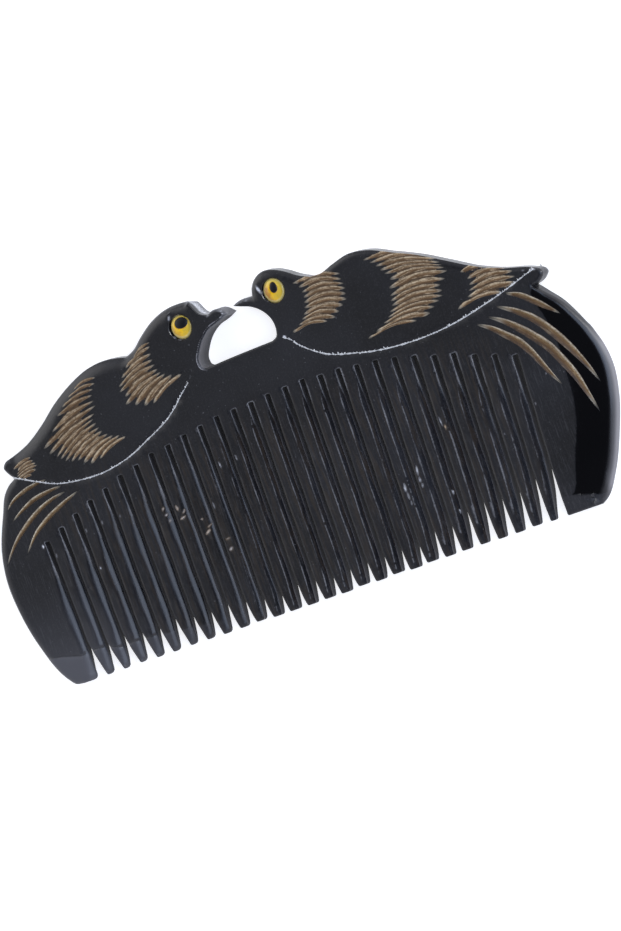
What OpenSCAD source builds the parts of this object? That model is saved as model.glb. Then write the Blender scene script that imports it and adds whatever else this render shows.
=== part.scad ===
// Horn comb cut from one plate, with two carved birds facing each other over a half-moon opening.
// It lies on its flat back: X runs along its length, Y from the tooth tips to the birds' backs,
// and Z through its thickness. The origin is under the middle of its bounding box.

/* [Plate] */
// Length over both ends
comb_length = 150; // [120:1:180]
// Thickness of the plate at the birds
plate_thickness = 5; // [4:0.1:6]
// Thickness of the teeth where the tip bevels start
tooth_thickness = 3; // [2.6:0.1:3.6]
// Thickness left at the tooth tips
tip_thickness = 1.5; // [1:0.1:2]
// How far the tip bevels reach up from the tips
bevel_height = 6; // [3:0.5:10]
// How far the back of the teeth rises off the surface where the tip bevels start
back_rise = 0.75; // [0.4:0.05:1]
// Height above the tips where the back starts to rise
back_taper_height = 20; // [14:1:28]
// Height above the tips where the front starts to slope down to the teeth
front_taper_height = 45; // [40:1:50]
// Thickness at the right end, where the front face slopes away
right_end_thickness = 3.4; // [2.6:0.1:4]
// Width of the sloping face at the right end
right_slope_width = 10; // [6:0.5:16]

/* [Teeth] */
// Number of saw cuts between the teeth
slot_count = 28; // [20:1:28]
// Distance from one saw cut to the next at their roots
tooth_pitch = 4.38; // [3.8:0.01:4.38]
// Distance from one saw cut to the next at the tips, where the teeth lean together
tip_pitch = 4.28; // [3.8:0.01:4.38]
// Width of a saw cut along the teeth
slot_width = 1.2; // [0.8:0.1:1.8]
// Width between two teeth at their tips
tip_gap = 2.8; // [2:0.1:3.2]
// Height over which the teeth taper towards their tips
taper_height = 14; // [8:1:20]
// Radius of the corners at the tooth tips
tip_radius = 0.45; // [0.2:0.05:0.6]

/* [Eyes] */
// Diameter of the inlaid eyes
eye_diameter = 5.2; // [4:0.1:6]
// Diameter of the left bird's pupil
left_pupil_diameter = 2.5; // [1.4:0.1:2.8]
// Diameter of the right bird's pupil
right_pupil_diameter = 1.8; // [1.4:0.1:2.8]
// How far each pupil sits above the middle of its eye
pupil_offset = 0.7; // [0:0.1:1]
// How far the rim of an eye lies below the plate's faces
eye_rim_depth = 0.6; // [0.4:0.1:0.8]
// How far the top of an eye's dome lies below the plate's faces
eye_top_depth = 0.1; // [0.05:0.05:0.3]
// Depth and width of the bevel round the mouth of an eye socket
socket_bevel = 0.3; // [0.1:0.1:0.5]
// Gap all round each inlay
fit_gap = 0.05; // [0.02:0.01:0.1]

/* [Engraving] */
// Depth of the long plumes and of the lines under the birds
groove_depth = 0.35; // [0.2:0.05:0.6]
// Depth of the feather strokes
stroke_depth = 0.25; // [0.1:0.05:0.4]
// Width of the line under each bird
belly_line_width = 0.6; // [0.4:0.1:0.9]

/* [Hidden] */
$fn = 48;
// Everything drawn is in millimetres on a comb 150 mm long, and follows comb_length
drawn_slot_start = -62.75;
drawn_tip_start = -62.3;
drawn_left_eye = [-15.3, 63.5];
drawn_right_eye = [8.2, 64.1];
curve_steps = 3;
margin = 2;

// Columns of every outline table: distance from the middle of the comb, height above the tooth tips
LEFT_END = [
    [-66.5, 0], [-68.4, 0.4], [-69.4, 1.6], [-72.9, 9.9], [-75, 19.5], [-75.3, 25], [-74, 31.6],
    [-70.6, 38.9], [-68.4, 42.9], [-67.2, 44.1], [-65, 45.4]
];
LEFT_TAIL = [[-65, 45.4], [-66.1, 46.8], [-66.7, 48.1], [-66, 49.1], [-64.4, 49.7]];
LEFT_BACK = [
    [-64.4, 49.7], [-60, 50.9], [-55, 53.4], [-50, 56.8], [-45, 59.8], [-40.5, 61.7], [-36, 62.3],
    [-32.8, 61.9], [-30.7, 61.4]
];
LEFT_HEAD = [
    [-30.7, 61.4], [-28.3, 62.1], [-25.5, 63.9], [-21.5, 66.5], [-18, 67.9], [-14.5, 68.2], [-11.8, 67.9]
];
LEFT_FOREHEAD = [[-11.8, 67.9], [-10.9, 66.8], [-10, 65], [-8.5, 64]];
LEFT_BEAK = [[-8.5, 64], [-7.2, 64.6], [-5.8, 64.7], [-4.6, 64.2], [-3.6, 63.3]];
LEFT_THROAT = [
    [-3.6, 63.3], [-6, 62.5], [-8.8, 61.7], [-11.3, 60], [-13.2, 57.8], [-14.2, 55.3], [-13.9, 54.2],
    [-12.8, 53.6]
];
OPENING_SILL = [[-12.8, 53.6], [-5, 54], [3.8, 54.3]];
RIGHT_THROAT = [
    [3.8, 54.3], [5, 54.9], [5.6, 56.3], [5.3, 58.8], [4, 60.9], [1.8, 62.6], [-0.4, 63.5], [-1.9, 64.1]
];
RIGHT_BEAK = [[-1.9, 64.1], [-0.9, 64.7], [0.4, 64.9], [2.8, 64.4]];
RIGHT_HEAD = [
    [2.8, 64.4], [3.4, 66], [4.6, 67.6], [6.8, 68.6], [8.8, 68.3], [11.2, 67.2], [14.2, 65.3], [16.7, 64.2]
];
RIGHT_BACK = [
    [16.7, 64.2], [19.3, 64.1], [22.8, 65.1], [27, 66], [31, 65.5], [36.4, 63.3], [42.2, 60.8], [48, 57.7],
    [53.8, 54.6], [59.6, 52.4], [64.8, 51], [66.6, 50.3]
];
RIGHT_TAIL = [[66.6, 50.3], [67.7, 49.6], [68.1, 48.8], [66.6, 48], [64.6, 47]];
RIGHT_END = [
    [64.6, 47], [67, 45.7], [69.4, 43.2], [71.4, 38.8], [73.8, 31.9], [74.5, 26.8], [73.4, 20.4],
    [70.8, 13.3], [66.9, 5.3], [63.9, 1.2], [62.2, 0]
];
STRETCHES = [
    LEFT_END, LEFT_TAIL, LEFT_BACK, LEFT_HEAD, LEFT_FOREHEAD, LEFT_BEAK, LEFT_THROAT, OPENING_SILL,
    RIGHT_THROAT, RIGHT_BEAK, RIGHT_HEAD, RIGHT_BACK, RIGHT_TAIL, RIGHT_END
];
// Where the saw cuts end: distance from the middle, height above the tips
ROOT_LINE = [
    [-62.8, 30.7], [-45, 37.3], [-27, 41.6], [-9.5, 43.8], [8, 44.6], [22, 43.9], [38, 40.4], [55.8, 35]
];
// The lines that part the birds from the teeth: distance from the middle, height above the tips
LEFT_BELLY = [
    [-64.8, 45.6], [-59.3, 42.8], [-53.3, 41], [-45.9, 40.3], [-38.3, 41.3], [-31, 44], [-25, 47.6],
    [-20.4, 51.6], [-16.4, 54.4]
];
RIGHT_BELLY = [
    [6.6, 54.2], [9.8, 50.8], [15.1, 47.9], [22, 45.7], [30, 44.6], [38, 44.5], [46, 45.3], [54, 47.3],
    [61, 49.6], [65.5, 51]
];
// Long plumes under each tail: widest width, then the route from the bird outwards
PLUMES = [
    [0.8, [[-57.5, 42.8], [-61, 42.5], [-64.6, 41.6], [-67.8, 39.8]]],
    [0.8, [[-54.5, 40.6], [-58.7, 40.1], [-65.4, 38.4], [-68.9, 36.8]]],
    [0.9, [[-54.2, 39.1], [-59.3, 38.3], [-66, 35.3], [-69.6, 32.6], [-73.2, 28.4]]],
    [0.9, [[-51.2, 38.5], [-56.3, 37], [-61, 35.1], [-64.6, 32.8], [-68.4, 29]]],
    [1.5, [[50, 43.8], [55.6, 39.6], [58.4, 36.4], [62.5, 29.4], [63.9, 26.4]]],
    [2, [[52.9, 44.7], [59, 40.9], [62.4, 37.7], [66.7, 29.4], [69.9, 18.9]]],
    [1.7, [[55.6, 46.1], [62.6, 42.2], [67.6, 36.1], [70.9, 29.2], [72.6, 24.4]]],
    [1.1, [[58.7, 48], [64.2, 44.9], [66.9, 42.6], [68.6, 40.7]]]
];
// Bands of feather strokes: number of strokes, width of one, rise of its arch, then the line of the
// strokes' left ends and the line of their right ends, both from the top stroke to the lowest
BANDS = [
    [6, 0.6, 0.3,
        [[-64.4, 47.2], [-64.1, 45.8], [-62.9, 44.6]],
        [[-59.3, 48.5], [-58.5, 46.8], [-60.5, 44.9]]],
    [15, 0.75, 0.7,
        [[-44.9, 58.7], [-51.8, 53.2], [-55, 47.2], [-51.6, 44.8], [-44.3, 43.2]],
        [[-38.6, 59.6], [-40.7, 55.8], [-42.1, 51.7], [-40.7, 48.2], [-36.4, 45.9]]],
    [10, 0.8, 0.6,
        [[-28.5, 60.7], [-33.4, 57], [-34.2, 54.6], [-33.2, 52.2], [-27.6, 50.3]],
        [[-23.4, 62.7], [-23.9, 60], [-23.8, 57.6], [-22.6, 55.7], [-18.7, 54.2]]],
    [10, 0.8, 1,
        [[12.6, 64], [14, 61.5], [13.6, 59], [12.2, 56.6], [9, 54.4]],
        [[24.3, 62.7], [24.3, 60.3], [23.9, 57.9], [21.8, 55.9], [17.8, 54.3]]],
    [15, 0.8, 1,
        [[29.5, 63.5], [32.8, 60.1], [32.6, 54.8], [31, 51.3], [24.7, 48]],
        [[41.5, 61.6], [46.6, 57.4], [46.4, 54.4], [44, 51], [37.1, 48.2]]],
    [6, 1, 0.8,
        [[49.8, 54.6], [50.7, 51], [46.4, 47.5]],
        [[55.6, 54.1], [61.5, 50.4], [57.6, 47.9]]]
];

tip_bevel = (tooth_thickness - tip_thickness) / 2;
tip_base = back_rise + tip_bevel;

// Direction of a smooth curve at one of its points, from its neighbours and their distances
function curve_slope(pts, i) =
    let (last = len(pts) - 1,
        before = pts[max(i - 1, 0)],
        after = pts[min(i + 1, last)],
        step_before = max(norm(pts[i] - before), 0.001),
        step_after = max(norm(after - pts[i]), 0.001))
    i == 0 ? (after - pts[i]) / step_after
    : i == last ? (pts[i] - before) / step_before
    : ((pts[i] - before) * step_after / step_before + (after - pts[i]) * step_before / step_after)
        / (step_before + step_after);

// Point between points i and i + 1 of a smooth curve, at the share t of the way
function curve_point(pts, i, t) =
    let (span = norm(pts[i + 1] - pts[i]))
    (2 * pow(t, 3) - 3 * pow(t, 2) + 1) * pts[i]
    + (pow(t, 3) - 2 * pow(t, 2) + t) * span * curve_slope(pts, i)
    + (3 * pow(t, 2) - 2 * pow(t, 3)) * pts[i + 1]
    + (pow(t, 3) - pow(t, 2)) * span * curve_slope(pts, i + 1);

// Points along a smooth curve, without its last one
function smooth(pts, steps = curve_steps) =
    [for (i = [0:len(pts) - 2], k = [0:steps - 1]) curve_point(pts, i, k / steps)];

// The same with its last point
function smooth_whole(pts, steps = curve_steps) = concat(smooth(pts, steps), [pts[len(pts) - 1]]);

drawn_outline = [for (stretch = STRETCHES) each smooth(stretch)];
xs = [for (p = drawn_outline) p[0]];
ys = [for (p = drawn_outline) p[1]];
centre = [(min(xs) + max(xs)) / 2, (min(ys) + max(ys)) / 2];
size_factor = comb_length / (max(xs) - min(xs));

// From a drawn point to its place on the comb
function place(p) = (p - centre) * size_factor;

// Point at the share of the way down a line whose points stand at equal shares
function share_point(pts, share) =
    let (position = share * (len(pts) - 1), i = min(floor(position), len(pts) - 2))
    curve_point(pts, i, position - i);

// Route of one stroke of a band, arched between its two ends
function stroke_route(band, index) =
    let (share = index / (band[0] - 1),
        left = share_point(band[3], share),
        right = share_point(band[4], share))
    [left, (left + right) / 2 + [0, band[2]], right];

tips_y = place([0, 0])[1];
top_y = place([0, max(ys)])[1];
right_x = place([max(xs), 0])[0];
root_points = smooth_whole(ROOT_LINE);

// Half the width of a saw cut at a height above the tips, without the round tip corners
function slot_half(height) =
    slot_width / 2 + (tip_gap - slot_width) / 2 * pow(max(0, 1 - height / taper_height), 1.6);

// One side of a saw cut from below the tips to the top of its taper: half width, height above the tips
slot_side = concat(
    [[slot_half(0) + tip_radius, -margin]],
    [for (a = [0:30:90]) [slot_half(0) + tip_radius * (1 - sin(a)), tip_radius * (1 - cos(a))]],
    [for (share = [0.2:0.2:1]) [slot_half(share * taper_height), share * taper_height]]
);

// A spindle round a smooth route: zero wide at both ends and widest in the middle
function spindle(route, width) =
    let (pts = smooth_whole(route),
        last = len(pts) - 1,
        offsets = [for (i = [0:last])
            let (slope = curve_slope(pts, i),
                half = width / 2 * pow(sin(180 * i / last), 0.7))
            [-slope[1], slope[0]] / norm(slope) * half])
    concat([for (i = [0:last]) pts[i] + offsets[i]], [for (i = [last - 1:-1:1]) pts[i] - offsets[i]]);

module outline() {
    polygon([for (p = drawn_outline) place(p)]);
}

module saw_cut(index) {
    root_x = drawn_slot_start + index * tooth_pitch;
    root_height = lookup(root_x, root_points) * size_factor;
    lean = (root_x - drawn_tip_start - index * tip_pitch) * size_factor / root_height;
    side = concat(slot_side, [[slot_width / 2, root_height]]);
    translate([place([drawn_tip_start + index * tip_pitch, 0])[0], tips_y])
        polygon(concat(
            [for (p = side) [lean * p[1] - p[0], p[1]]],
            [for (i = [len(side) - 1:-1:0]) [lean * side[i][1] + side[i][0], side[i][1]]]
        ));
}

// The plate seen from its end, with the teeth thinning towards bevelled tips, lowered by a groove's depth
module end_view(lowered) {
    translate([-comb_length, 0, 0]) rotate([90, 0, 90])
        linear_extrude(2 * comb_length)
            polygon([
                [tips_y - margin, tip_base - lowered],
                [tips_y, tip_base - lowered],
                [tips_y + bevel_height, back_rise - lowered],
                [tips_y + back_taper_height, -lowered],
                [top_y + margin, -lowered],
                [top_y + margin, plate_thickness - lowered],
                [tips_y + front_taper_height, plate_thickness - lowered],
                [tips_y + bevel_height, back_rise + tooth_thickness - lowered],
                [tips_y, tip_base + tip_thickness - lowered],
                [tips_y - margin, tip_base + tip_thickness - lowered]
            ]);
}

// The plate seen from its tips, with the sloping face at its right end
module tip_view(lowered) {
    translate([0, comb_length, 0]) rotate([90, 0, 0])
        linear_extrude(2 * comb_length)
            polygon([
                [-comb_length, -margin],
                [comb_length, -margin],
                [comb_length, right_end_thickness - lowered],
                [right_x, right_end_thickness - lowered],
                [right_x - right_slope_width, plate_thickness - lowered],
                [-comb_length, plate_thickness - lowered]
            ]);
}

module plate() {
    intersection() {
        linear_extrude(plate_thickness)
            difference() {
                outline();
                for (index = [0:slot_count - 1]) saw_cut(index);
            }
        end_view(0);
        tip_view(0);
    }
}

module eye_socket(drawn_middle) {
    middle = place(drawn_middle);
    radius = eye_diameter / 2 + fit_gap;
    translate([middle[0], middle[1], -margin])
        cylinder(r = radius, h = plate_thickness + 2 * margin);
    for (side = [0, 1])
        translate([middle[0], middle[1], side * plate_thickness]) mirror([0, 0, side])
            cylinder(r1 = radius + socket_bevel, r2 = radius, h = socket_bevel);
}

// Cuts shapes into the front face, down to a depth that follows its slopes
module engraved(depth) {
    difference() {
        linear_extrude(plate_thickness + margin) children();
        intersection() {
            end_view(depth);
            tip_view(depth);
        }
    }
}

module plumes_and_belly_lines() {
    for (row = PLUMES) polygon([for (p = spindle(row[1], row[0])) place(p)]);
    polygon([for (p = spindle(LEFT_BELLY, belly_line_width)) place(p)]);
    polygon([for (p = spindle(RIGHT_BELLY, belly_line_width)) place(p)]);
}

module feather_strokes() {
    for (band = BANDS, index = [0:band[0] - 1])
        polygon([for (p = spindle(stroke_route(band, index), band[1])) place(p)]);
}

module comb() {
    color("#2b2c31")
        difference() {
            plate();
            eye_socket(drawn_left_eye);
            eye_socket(drawn_right_eye);
            engraved(groove_depth) plumes_and_belly_lines();
            engraved(stroke_depth) feather_strokes();
        }
}

// An eye as one plug through the plate, domed at both ends
module eye_plug(drawn_middle) {
    middle = place(drawn_middle);
    radius = eye_diameter / 2;
    rise = eye_rim_depth - eye_top_depth;
    dome = [for (share = [0:0.2:1]) [radius * share, rise * (1 - share * share)]];
    low = eye_rim_depth;
    high = plate_thickness - eye_rim_depth;
    translate([middle[0], middle[1], 0])
        rotate_extrude()
            polygon(concat(
                [for (p = dome) [p[0], low - p[1]]],
                [for (i = [len(dome) - 1:-1:0]) [dome[i][0], high + dome[i][1]]]
            ));
}

module pupil_rod(drawn_middle, diameter) {
    middle = place(drawn_middle);
    translate([middle[0], middle[1] + pupil_offset, -margin])
        cylinder(d = diameter, h = plate_thickness + 2 * margin);
}

module iris(drawn_middle, pupil_diameter) {
    color("#e1b41e")
        difference() {
            eye_plug(drawn_middle);
            pupil_rod(drawn_middle, pupil_diameter + 2 * fit_gap);
        }
}

module pupil(drawn_middle, pupil_diameter) {
    color("#101010")
        intersection() {
            eye_plug(drawn_middle);
            pupil_rod(drawn_middle, pupil_diameter);
        }
}

module left_eye_iris() {
    iris(drawn_left_eye, left_pupil_diameter);
}

module left_eye_pupil() {
    pupil(drawn_left_eye, left_pupil_diameter);
}

module right_eye_iris() {
    iris(drawn_right_eye, right_pupil_diameter);
}

module right_eye_pupil() {
    pupil(drawn_right_eye, right_pupil_diameter);
}

comb();
left_eye_iris();
left_eye_pupil();
right_eye_iris();
right_eye_pupil();
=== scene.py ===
"""The looks of a horn comb carved as two birds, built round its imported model."""

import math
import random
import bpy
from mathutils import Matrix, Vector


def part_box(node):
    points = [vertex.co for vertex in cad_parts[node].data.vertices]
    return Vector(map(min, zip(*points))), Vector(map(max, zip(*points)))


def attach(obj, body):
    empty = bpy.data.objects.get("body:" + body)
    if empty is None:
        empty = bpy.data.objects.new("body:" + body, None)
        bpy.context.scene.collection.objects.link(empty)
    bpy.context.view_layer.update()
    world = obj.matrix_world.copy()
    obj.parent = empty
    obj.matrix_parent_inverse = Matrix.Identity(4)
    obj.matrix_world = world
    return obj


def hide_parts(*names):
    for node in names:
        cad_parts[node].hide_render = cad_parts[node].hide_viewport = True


bl_info = {
    "name": "Horn Comb with Two Birds",
    "version": (1, 0, 0),
    "blender": (4, 5, 0),
    "location": "View3D > Sidebar > Horn Comb",
    "description": "Builds a carved horn comb: its plate, teeth, feather cuts, chalk lines and eyes",
    "category": "Object",
}

import bpy
import numpy as np
from mathutils import Matrix, Vector
from mathutils.geometry import delaunay_2d_cdt
from mathutils.kdtree import KDTree

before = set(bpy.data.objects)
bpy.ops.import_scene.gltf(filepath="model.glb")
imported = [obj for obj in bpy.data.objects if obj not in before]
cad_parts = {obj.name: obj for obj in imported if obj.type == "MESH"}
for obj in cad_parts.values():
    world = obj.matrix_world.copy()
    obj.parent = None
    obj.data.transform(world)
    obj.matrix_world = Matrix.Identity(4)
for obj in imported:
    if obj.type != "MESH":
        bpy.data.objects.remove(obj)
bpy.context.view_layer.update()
PLATE_LOW, PLATE_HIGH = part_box("comb")
MM = 0.001
# The plate's thickness at the birds, in millimetres
THICKNESS = 5

# Everything drawn is in millimetres: distance from the comb's middle, then height above the tooth tips
LEFT_END = [
    (-66.8, 0), (-68.8, 0.4), (-69.9, 1.6), (-73.5, 9.8), (-75.5, 19.4), (-75.7, 25), (-74.4, 31.6),
    (-70.9, 39), (-68.6, 43), (-67.3, 44.2), (-65, 45.4),
]
LEFT_TAIL = [(-65, 45.4), (-66.1, 46.8), (-66.7, 48.1), (-66, 49.1), (-64.4, 49.7)]
LEFT_BACK = [
    (-64.4, 49.7), (-60.1, 51.1), (-55.3, 53.8), (-50.4, 57.3), (-45.2, 60.1), (-40.5, 61.8), (-36, 62.3),
    (-32.8, 61.9), (-30.7, 61.4),
]
LEFT_HEAD = [
    (-30.7, 61.4), (-28.5, 62.3), (-25.9, 64.3), (-21.8, 66.8), (-18, 68), (-14.5, 68.2), (-12.1, 67.9),
]
LEFT_FOREHEAD = [(-12.1, 67.9), (-11.4, 66.5), (-10.5, 64.9), (-8.7, 63.9)]
LEFT_BEAK = [(-8.7, 63.9), (-7.3, 64.5), (-6.1, 64.4), (-5, 63.8), (-4.1, 62.8)]
LEFT_THROAT = [
    (-4.1, 62.8), (-6.3, 61.9), (-8.9, 61.2), (-11.1, 59.8), (-12.9, 57.7), (-14, 55.3), (-13.8, 54.2),
    (-12.9, 53.6),
]
OPENING_SILL = [(-12.9, 53.6), (-5, 54), (3.8, 54.3)]
RIGHT_THROAT = [
    (3.8, 54.3), (5, 54.9), (5.5, 56.3), (5.2, 58.8), (3.8, 60.9), (1.6, 62.5), (-0.7, 63.3), (-2.4, 63.9),
]
RIGHT_BEAK = [(-2.4, 63.9), (-1.1, 64.4), (0.4, 64.6), (2.4, 64.3)]
RIGHT_HEAD = [
    (2.4, 64.3), (2.9, 66), (4.2, 67.6), (6.6, 68.6), (8.8, 68.3), (11.2, 67.2), (14.2, 65.3), (16.7, 64.2),
]
RIGHT_BACK = [
    (16.7, 64.2), (19.3, 64.1), (22.8, 65.1), (27, 66), (31, 65.5), (36.4, 63.3), (42.2, 60.8), (48, 57.7),
    (53.8, 54.6), (59.6, 52.4), (64.8, 51), (66.6, 50.3),
]
RIGHT_TAIL = [(66.6, 50.3), (67.3, 49.9), (67.8, 48.9), (67.1, 47.9), (66.1, 47.3), (64.6, 47)]
RIGHT_SHOULDER = [(64.6, 47), (66.4, 45), (68.7, 42.5), (71.1, 38.6), (72.6, 35.6)]
RIGHT_END = [
    (72.6, 35.6), (73.3, 33.5), (74, 31), (74.4, 26.8), (73.3, 20.4), (70.6, 13.3), (66.5, 5.3), (63.4, 1.2),
    (61.8, 0),
]
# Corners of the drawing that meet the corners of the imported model
DRAWN_LOW = (-75.3, 0)
DRAWN_HIGH = (74.5, 68.6)
# The outline, clockwise from the left guard's foot: points, then its edge's width, drop, flatness, and wear
# with painted highlight, how far the back's edge is rounded as a share of the front's, and how strong the
# painted highlight line is where the edge starts
OUTLINE = [
    (LEFT_END, 1.6, 0.7, 0.5, 0.1, 0.8, 0),
    (LEFT_TAIL, 0.7, 0.45, 0.5, 0.3, 0.8, 0),
    (LEFT_BACK, 2.8, 1.25, 0.9, 0.03, 0.8, 0),
    (LEFT_HEAD, 2.2, 1.4, 0.35, 0.05, 1, 0),
    (LEFT_FOREHEAD, 0.22, 0.3, 0.2, 0.8, 10, 0),
    (LEFT_BEAK, 0.7, 0.7, 0.5, 0.3, 1, 0),
    (LEFT_THROAT, 0.5, 0.2, 0.5, 0.42, 0.8, 0.65),
    (OPENING_SILL, 0.4, 0.25, 0, 0.05, 0.8, 0),
    (RIGHT_THROAT, 0.5, 0.3, 0, 0.05, 0.8, 0),
    (RIGHT_BEAK, 0.9, 0.8, 0.5, 0.35, 0.8, 0),
    (RIGHT_HEAD, 1.6, 0.95, 0.7, 0.1, 1.6, 0),
    (RIGHT_BACK, 1.2, 0.6, 0.7, 0.03, 2.8, 0),
    (RIGHT_TAIL, 0.7, 0.6, 0.3, 0.2, 2.6, 0),
    (RIGHT_SHOULDER, 0.85, 0.7, 0, 0.03, 1.5, 0),
    (RIGHT_END, 1.8, 1.2, 0, 0, 0.8, 0),
]
# Height above the tips, then width and drop of the soft rim round the right end
RIGHT_RIM = [(0, 1.8, 1.2), (24, 1.8, 1.2), (35, 1.4, 1), (41, 1.1, 0.85), (47, 0.8, 0.7)]
SLOT_COUNT = 28
ROOT_START = -62.75
ROOT_PITCH = 4.38
TIP_START = -62.3
TIP_PITCH = 4.28
SLOT_WIDTH = 1.2
# Saw cut's number from the left, how far its left and its right wall open at the tips, the height where that
# starts, and the radius of the corner on its left
TIP_OPENINGS = [
    (0, 0.45, 1.35, 8.5, 1.1), (7, 0.5, 1.05, 8, 0.9), (11, 0.5, 0.6, 6.5, 0.5), (19, 0.5, 0.5, 6.5, 0.4),
    (22, 0.75, 0.5, 11, 0.4), (26, 0.85, 0.5, 12, 0.4), (27, 1.4, 0.25, 13, 0.4),
]
# Saw cut's number, then width and drop of the filed edge on its left, as shares of the greatest, then how far
# that edge is a flat bevel instead, and the bevel's width
FILED = [
    (0, 1, 1, 0, 0.9), (7, 0.9, 0.9, 0, 0.9), (9, 0.5, 0.5, 0.35, 0.9), (12, 0.02, 0.02, 1, 0.9),
    (19, 0.02, 0.02, 1, 1), (22, 0.02, 0.02, 1, 1.3), (27, 0.02, 0.02, 0.8, 1.4),
]
TIP_RADIUS = 0.4
ROOT_CORNER = 0.16
ROOT_LINE = [
    (-62.8, 30.7), (-45, 37.3), (-27, 41.6), (-9.5, 43.8), (8, 44.6), (22, 43.9), (38, 40.4), (55.8, 35),
]
# The same six numbers for each kind of edge on a tooth: its right edge is mixed from the first three
TOOTH_EDGES = {
    "filed": (1.5, 0.95, 0.9, 0.03, 0.5, 0),
    "bevel": (1, 0.24, 1, 0.02, 0.6, 0.36),
    "right": (0.16, 0.1, 0.2, 0.5, 0.8, 0),
    "left": (0.45, 0.1, 0.9, 0.2, 0.8, 0),
    "root": (0.2, 0.12, 0.2, 0.3, 0.8, 0),
    "tip": (0.55, 0.4, 0.2, 0.1, 0.8, 0),
}
# How much narrower a saw cut is halfway down than at its root
PINCH = 0.16
# Height above the tips, then height of the front face and of the back face over the surface
FRONT_PROFILE = [(0, 3.56), (45, THICKNESS), (80, THICKNESS)]
BACK_PROFILE = [(0, 1.5), (6, 0.75), (20, 0), (80, 0)]
# Distance from the middle, height above the tips where the sanded facet starts, and how sanded it looks
FACETS = [
    (-72, 7.2, 1), (-69, 6.8, 1), (-64.5, 5.6, 1), (-62, 6, 0.5), (-58.5, 5.9, 0.4), (-55, 4.7, 0.4),
    (-51, 4.9, 0.4), (-42, 4.3, 0.35), (-30, 3, 0.15), (-22, 2.3, 0.06), (53, 2.3, 0.04), (54.5, 4.4, 0.08),
    (56.9, 3.7, 0.12), (60.8, 2.6, 0.06), (63.7, 1.8, 0), (66, 1.4, 0),
]
# Inner boundary of the sloping face at the right end, from the tail's notch to the foot, then round outside
SLOPE_EDGE = [
    (65, 46.8), (64, 46.3), (63.6, 45.3), (63.8, 43.8), (64.7, 40.7), (65.4, 36.6), (65.6, 33.2),
    (65.1, 29.4), (64.9, 24.8), (64.2, 20.6), (62.8, 16.2), (61, 12.4), (59.7, 9.3), (58.2, 5.4),
    (57.4, 4.3), (56.6, 3.8),
]
SLOPE_SURROUND = [(60.8, 2.6), (63.7, 1.8), (66.5, 1.2), (80, 5), (80, 40), (66.2, 46.6)]
SLOPE_DROP = 1.6
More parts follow.
